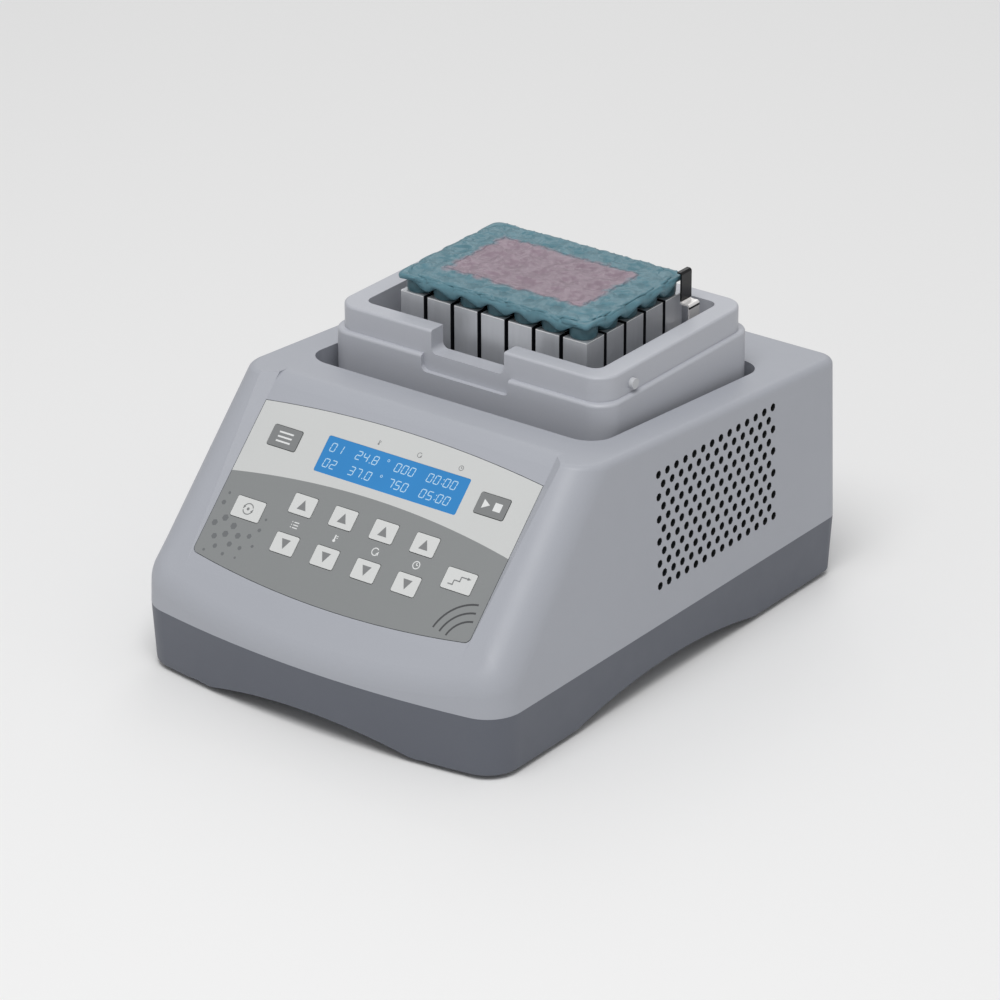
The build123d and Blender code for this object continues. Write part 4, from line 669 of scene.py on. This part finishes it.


# A place gets its colour by how far it lies past the edge of the pink part; the cups below the lids are darker, as
# painted shade.
for finish in (teal_tube, pink_tube):
    tree = finish.node_tree
    x, y, z = place_of(tree)
    y, off_x, off_y = from_axes(tree, x, y)
    past = maths(tree, "MAXIMUM", maths(tree, "SUBTRACT", maths(tree, "ABSOLUTE", x), INNER_HALF[0] * MM),
                 maths(tree, "SUBTRACT", maths(tree, "ABSOLUTE", y), INNER_HALF[1] * MM))
    at = add_node(tree, "ShaderNodeTexCoord").outputs["Object"]
    waver = add_node(tree, "ShaderNodeTexNoise", {"Vector": at, "Scale": BLEND_WAVER[0], "Detail": 2.0}).outputs[0]
    past = maths(tree, "MULTIPLY_ADD", maths(tree, "SUBTRACT", waver, 0.5), BLEND_WAVER[1] * MM, past)
    blend = add_node(tree, "ShaderNodeMapRange", {
        "Value": past, "From Min": -BLEND_HALF * MM, "From Max": BLEND_HALF * MM}).outputs[0]
    sheet = add_node(tree, "ShaderNodeMix", {"Factor": blend, 6: SHEET_PINK, 7: SHEET_TEAL}, data_type="RGBA")
    aside = maths(tree, "SQRT", maths(tree, "ADD", maths(tree, "MULTIPLY", off_x, off_x),
                                      maths(tree, "MULTIPLY", off_y, off_y)))
    cup = all_of(tree, maths(tree, "LESS_THAN", aside, CUP_REACH * MM),
                 maths(tree, "LESS_THAN", z, (BLOCK_TOP + CUP_TOP) * MM))
    shade = maths(tree, "MULTIPLY_ADD", cup, -CUP_PAINTED_SHADE, 1.0)
    tinted = add_node(tree, "ShaderNodeVectorMath", {0: sheet.outputs[2], "Scale": shade}, operation="SCALE")
    surface = next(node for node in tree.nodes if node.bl_idname == "ShaderNodeGroup")
    tree.links.new(tinted.outputs[0], surface.inputs["Colour"])
WEB_RINGS = ((-2.2, 6.9, 1.0), (-0.5, 6.3, 1.0), (0.35, 6.8, 0.9), (0.45, 7.8, 0.4), (-0.2, 8.6, 0.1),
             (-1.6, 8.9, 0.0))  # how far out, height, and share of the droop
WEB_STEPS = 360
WEB_SQUARENESS = 7.0
WEB_WAVE = 0.6
WEB_DROOP = 3.6


def rim_share(x, y, half):
    """1 on the soft rectangle, less inside it."""
    return (abs(x / half[0]) ** WEB_SQUARENESS + abs(y / half[1]) ** WEB_SQUARENESS) ** (1 / WEB_SQUARENESS)


def web_loop(half, out=0.0, z=0.0, droop=0.0, wavy=True):
    """A soft rectangle: it swells beside each tube, and droops between them."""
    loop = []
    for i in range(WEB_STEPS):
        angle = 2 * pi * i / WEB_STEPS
        x, y = cos(angle), sin(angle)
        size = 1 / rim_share(x, y, half)
        side = x if abs(x) / half[0] < abs(y) / half[1] else y
        beside = cos(2 * pi * side * size / TUBE_PITCH) * wavy
        reach = size + out + WEB_WAVE * beside
        loop.append((x * reach, y * reach, z - droop * WEB_DROOP * (1 - beside) / 2))
    return loop


def web(mesh):
    """The thin skirt that joins the outer lids, with a hole for the inner ones."""
    loops = [[web_loop(OUTER_HALF, *ring) for ring in WEB_RINGS],
             [web_loop(INNER_HALF, z=WEB_RINGS[level][1], wavy=False) for level in (0, -1)]]
    rims = [[[mesh.verts.new((x * MM, (y + MIX_Y) * MM, (z + BLOCK_TOP) * MM)) for x, y, z in loop]
             for loop in rim] for rim in loops]
    for rings in rims:
        for low, high in zip(rings, rings[1:]):
            for i in range(WEB_STEPS):
                mesh.faces.new((low[i - 1], low[i], high[i], high[i - 1]))
    for level in (0, -1):
        outer, inner = rims[0][level], rims[1][level]
        for i in range(WEB_STEPS):
            mesh.faces.new((outer[i - 1], outer[i], inner[i], inner[i - 1]))


SKIN_CELL = 0.8
SKIN_TOP = 9.7
SKIN_DIMPLE = (1.3, 3.9)  # depth, radius
SKIN_FALL = (1.8, 2.6)  # how far it dips at the rim, and over what width
SKIN_LIMIT = 0.982
SKIN_THICK = 0.5
SWELL = (0.75, 0.16)  # height of the relief, and its frequency per millimetre
WRINKLE = (0.42, 0.45)
CREASE = (0.9, 0.8, 0.35, 0.2)  # height, frequency along X and Y, and the noise that it starts from
SEAM_WAVER = (0.7, 0.5)


def relief(x, y, across, along, layer):
    """Smooth noise over the skin, from -1 to 1."""
    return noise.noise(Vector((x * across, y * along, layer)))


def skin_height(x, y):
    """Height of the lids' common upper face: a dimple over each tube, fine wrinkles, a dip at the rim."""
    off_x = x - TUBE_PITCH * round(x / TUBE_PITCH)
    off_y = y - TUBE_PITCH * round(y / TUBE_PITCH)
    dimple = SKIN_DIMPLE[0] * exp(-(hypot(off_x, off_y) / SKIN_DIMPLE[1]) ** 2)
    swell = SWELL[0] * relief(x, y, SWELL[1], SWELL[1], 3.1)
    wrinkle = WRINKLE[0] * relief(x, y, WRINKLE[1], WRINKLE[1], 0)
    crease = CREASE[0] * max(0.0, relief(x, y, CREASE[1], CREASE[2], 7.7) - CREASE[3])
    share = rim_share(x, y, OUTER_HALF)
    across = OUTER_HALF[0] if abs(x) / OUTER_HALF[0] > abs(y) / OUTER_HALF[1] else OUTER_HALF[1]
    near_rim = max(0.0, 1 - (1 - share) * across / SKIN_FALL[1])
    return SKIN_TOP - dimple + swell + wrinkle + crease - SKIN_FALL[0] * near_rim ** 2


def skin(mesh, inner):
    """The part of the common upper face that has one colour, as a thin closed sheet of small squares."""
    steps = [int(half / SKIN_CELL) for half in OUTER_HALF]
    corners = {}
    for i in range(-steps[0], steps[0]):
        for j in range(-steps[1], steps[1]):
            square = [((i + a) * SKIN_CELL, (j + b) * SKIN_CELL) for a, b in ((0, 0), (1, 0), (1, 1), (0, 1))]
            if max(rim_share(x, y, OUTER_HALF) for x, y in square) > SKIN_LIMIT:
                continue
            x, y = square[0]
            waver = SEAM_WAVER[0] * relief(x, y, SEAM_WAVER[1], SEAM_WAVER[1], 5.0)
            if (abs(x) < INNER_HALF[0] + waver and abs(y) < INNER_HALF[1] + waver) != inner:
                continue
            face = []
            for x, y in square:
                key = (round(x / SKIN_CELL), round(y / SKIN_CELL))
                if key not in corners:
                    place = (x * MM, (y + MIX_Y) * MM, (skin_height(x, y) + BLOCK_TOP) * MM)
                    corners[key] = mesh.verts.new(place)
                face.append(corners[key])
            mesh.faces.new(face)
    bmesh.ops.recalc_face_normals(mesh, faces=mesh.faces)
    bmesh.ops.solidify(mesh, geom=mesh.faces[:], thickness=SKIN_THICK * MM)


def outer_skin(mesh):
    """The teal part."""
    skin(mesh, False)


def inner_skin(mesh):
    """The pink part."""
    skin(mesh, True)


for name, build, slot, finish in (("lid_web", web, "teal_tube", teal_tube),
                                  ("lid_skin_outer", outer_skin, "teal_tube", teal_tube),
                                  ("lid_skin_inner", inner_skin, "pink_tube", pink_tube)):
    mesh = bmesh.new()
    build(mesh)
    piece_from(mesh, name, finish, "tubes", smooth=True)
for node, inner, slot, finish in (("tubes_outer", False, "teal_tube", teal_tube),
                                  ("tubes_inner", True, "pink_tube", pink_tube)):
    piece = grow("micro" + node, rack, {
        "Pitch": TUBE_PITCH * MM, "Columns": TUBE_COLUMNS, "Rows": TUBE_ROWS, "Inner": inner,
        "Middle": (0, MIX_Y * MM, BLOCK_TOP * MM), "Lean": LID_LEAN, "Seed": 11, "Body": tube_body,
        "Lid": tube_lid, "Finish": finish})
    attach(piece, "tubes")
    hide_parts(node)
for pattern in (tube_body, tube_lid):
    bpy.data.objects.remove(pattern)

# ------------------------------------------------------------------ heating block and metalwork
# The block is milled from aluminium bar, with cross slots between the wells. The metal inside is
# turned, ground, stamped or plated; every surface keeps the fine lay of its tool. The clip's finger
# tab is polished, with a dark band just under its top bend, and its strap above that is blackened.
TARNISH_PER_METRE = 45.0
worked, given, result = group_of(
    "worked_metal",
    [("Colour", "Color", (0.8, 0.8, 0.8, 1)), ("Lay", "Vector", (60, 60, 2400)), ("Streak", "Float", 0.12),
     ("Depth", "Float", 0.00001), ("Roughness", "Float", 0.3)],
    [("Colour", "Color"), ("Roughness", "Float"), ("Normal", "Vector")],
)
place = add_node(worked, "ShaderNodeTexCoord").outputs["Object"]
drawn = add_node(worked, "ShaderNodeVectorMath", {0: place, 1: given["Lay"]}, operation="MULTIPLY").outputs[0]
lines = add_node(worked, "ShaderNodeTexNoise", {"Vector": drawn, "Scale": 1.0, "Detail": 3.0}).outputs[0]
tarnish = add_node(worked, "ShaderNodeTexNoise",
                   {"Vector": place, "Scale": TARNISH_PER_METRE, "Detail": 3.0}).outputs[0]
both = maths(worked, "SUBTRACT", maths(worked, "ADD", lines, tarnish), 1.0)
shade = maths(worked, "MULTIPLY_ADD", both, given["Streak"], 1.0)
tinted = add_node(worked, "ShaderNodeVectorMath", {0: given["Colour"], "Scale": shade}, operation="SCALE")
rough = maths(worked, "MULTIPLY_ADD", both, given["Streak"], given["Roughness"])
bump = add_node(worked, "ShaderNodeBump", {"Strength": 0.6, "Distance": given["Depth"], "Height": lines})
worked.links.new(tinted.outputs[0], result["Colour"])
worked.links.new(rough, result["Roughness"])
worked.links.new(bump.outputs[0], result["Normal"])


def metal(name, colour, roughness, lay=(60, 60, 2400), streak=0.12, metallic=1.0):
    """A worked metal; lay is how many tool lines there are to a metre along X, Y and Z."""
    return start_finish(name, worked, {"Colour": colour, "Lay": lay, "Streak": streak, "Roughness": roughness},
                        Metallic=metallic)


SAW_HALF = 1.13
BLOCK_HALF = (52.3, 37.0)
SLOT_PAINTED_SHADE = (0.03, 0.032, 0.042, 1)
EDGE_BAND = (0.26, 0.24)  # how far under the top, and half its width
EDGE_PAINTED_HIGHLIGHT = (1, 1, 1, 1)
block_aluminium = metal("block_aluminium", (0.62, 0.635, 0.665, 1), 0.42, (500, 500, 60), 0.16, 0.55)
tree = block_aluminium.node_tree
x, y, z = place_of(tree)
y, off_x, off_y = from_axes(tree, x, y)
# Painted shade: the walls of the cross slots between the wells are painted near-black, for the shade deep in them.
cuts = [all_of(tree, maths(tree, "GREATER_THAN", off, (TUBE_PITCH / 2 - SAW_HALF) * MM),
               maths(tree, "LESS_THAN", maths(tree, "ABSOLUTE", across), half * MM))
        for across, off, half in ((x, off_x, BLOCK_HALF[0]), (y, off_y, BLOCK_HALF[1]))]
slot_shade_mask = maths(tree, "MAXIMUM", *cuts)
# Painted highlight: a thin band just under the block's top, away from the slots, is painted white.
edge = maths(tree, "COMPARE", z, (BLOCK_TOP - EDGE_BAND[0]) * MM, EDGE_BAND[1] * MM)
paint(block_aluminium, slot_shade_mask, SLOT_PAINTED_SHADE)
paint(block_aluminium, all_of(tree, edge, maths(tree, "SUBTRACT", 1.0, slot_shade_mask)), EDGE_PAINTED_HIGHLIGHT)
dress(block_aluminium, "heating_block")
dress(metal("machined_aluminium", (0.66, 0.67, 0.69, 1), 0.34), "mechanism_deck", "drive_plate", "heat_sink",
      "transfer_plate")
STRAP_FROM = 0.1497
STRAP_BLACK = (0.008, 0.008, 0.009, 1)
TAB_CREASE = (0.0605, 0.1474, 0.0005)  # from X; middle and half width in Z
spring_steel = metal("spring_steel", (0.86, 0.84, 0.83, 1), 0.24, (2000, 60, 60), 0.08, 0.35)
tree = spring_steel.node_tree
x, _, z = place_of(tree)
crease = all_of(tree, maths(tree, "GREATER_THAN", x, TAB_CREASE[0]),
                maths(tree, "COMPARE", z, TAB_CREASE[1], TAB_CREASE[2]))
paint(spring_steel, maths(tree, "MAXIMUM", maths(tree, "GREATER_THAN", z, STRAP_FROM), crease), STRAP_BLACK)
dress(spring_steel, "retaining_clip", "clip_bracket")
dress(metal("steel_screws", (0.55, 0.55, 0.56, 1), 0.3, (900, 900, 900)), "closing_screws", "chassis_screws",
      "deck_screws", "motor_screws", "surround_screws")
dress(metal("zinc_steel", (0.60, 0.62, 0.60, 1), 0.38, (300, 300, 300), 0.2), "chassis_plate", "fan_bracket")
dress(metal("turned_steel", (0.52, 0.53, 0.55, 1), 0.26, (60, 60, 5000)), "deck_pillars", "surround_posts",
      "eccentric_shaft", "idler_crank_1", "idler_crank_2", "idler_crank_3", "idler_crank_4")
dress(metal("brass", (0.72, 0.52, 0.24, 1), 0.3), "counterweight")
dress(metal("bearing_steel", (0.58, 0.59, 0.61, 1), 0.16, (60, 60, 5000), 0.06), "deck_bearings",
      "platform_bearings")
dress(metal("motor_can", (0.10, 0.10, 0.11, 1), 0.42), "motor")
dress(metal("nickel_pins", (0.66, 0.64, 0.58, 1), 0.2), "inlet_pins")

# ------------------------------------------------------------------ electrics and small mouldings
# Boards, the fan, the mains inlet with its fuse drawer, the rocker switch, the ceramic
# thermoelectric modules and the foam round them, each in its trade finish.
FINISHES = {
    "circuit_board": ((0.02, 0.14, 0.06, 1), 0.35, 0.5, 0.0012, ("main_board", "power_supply", "keypad_board")),
    "ceramic": ((0.75, 0.74, 0.70, 1), 0.6, 0.06, 0.0005, ("thermoelectric_modules",)),
    "foam": ((0.035, 0.035, 0.04, 1), 0.9, 0.4, 0.0008, ("insulation_frame",)),
    "black_plastic": ((0.014, 0.014, 0.016, 1), 0.42, 0.15, 0.0005,
                      ("mains_inlet", "fuse_drawer", "switch_frame", "power_rocker", "fan_frame", "fan_rotor")),
    "fuse_glass": ((0.72, 0.75, 0.74, 1), 0.12, 0.05, 0.002, ("fuse",)),
}
for name, (colour, roughness, mottle, grain, members) in FINISHES.items():
    dress(start_finish(name, moulded, {"Colour": colour, "Mottle": mottle, "Grain Size": grain,
                                       "Roughness": roughness}), *members)

# ------------------------------------------------------------------ studio
# A pale floor under an even white sky, a large soft key light high in front and to the right, and
# a weak light from behind on the left.
bpy.ops.mesh.primitive_plane_add(size=14)
floor = bpy.context.object
floor.name = "studio_floor"
floor_finish = bpy.data.materials.new("studio_floor")
floor_finish.use_nodes = True
shader = floor_finish.node_tree.nodes["Principled BSDF"]
shader.inputs["Base Color"].default_value = (0.86, 0.86, 0.86, 1)
shader.inputs["Roughness"].default_value = 0.9
floor.data.materials.append(floor_finish)

AIM = Vector((0, 0, 0.07))
LAMPS = (("key", (0.45, -0.95, 2.35), 1.5, 38.0), ("rim", (-0.9, 1.6, 1.5), 1.0, 5.0))
SKY_STRENGTH = 0.45
for name, spot, size, power in LAMPS:
    lamp = bpy.data.lights.new(name, "AREA")
    lamp.size = size
    lamp.energy = power
    holder = bpy.data.objects.new(name, lamp)
    bpy.context.collection.objects.link(holder)
    holder.location = spot
    holder.rotation_euler = (Vector(spot) - AIM).to_track_quat("Z", "Y").to_euler()
world = bpy.data.worlds.new("studio")
world.use_nodes = True
sky = world.node_tree.nodes["Background"]
sky.inputs["Color"].default_value = (1, 1, 1, 1)
sky.inputs["Strength"].default_value = SKY_STRENGTH
scene = bpy.context.scene
scene.world = world
scene.view_settings.view_transform = "Standard"

# The camera stands right of the front, looking down on the panel and the vented side.
AZIMUTH = radians(36.776)
ELEVATION = radians(25.218)
ROLL = radians(-0.132)
FOCAL_LENGTH = 175.98
CAMERA_PLACE = (1.2200, -1.6242, 1.0176)
back = Vector((sin(AZIMUTH) * cos(ELEVATION), -cos(AZIMUTH) * cos(ELEVATION), sin(ELEVATION)))
level = Vector((cos(AZIMUTH), sin(AZIMUTH), 0))
upright = back.cross(level)
right = level * cos(ROLL) + upright * sin(ROLL)
up = upright * cos(ROLL) - level * sin(ROLL)
lens = bpy.data.cameras.new("camera")
lens.lens = FOCAL_LENGTH
lens.sensor_width = 36.0
camera = bpy.data.objects.new("camera", lens)
bpy.context.collection.objects.link(camera)
turn = Matrix((right, up, back)).transposed().to_4x4()
camera.matrix_world = Matrix.Translation(CAMERA_PLACE) @ turn
scene.camera = camera

bpy.context.view_layer.update()
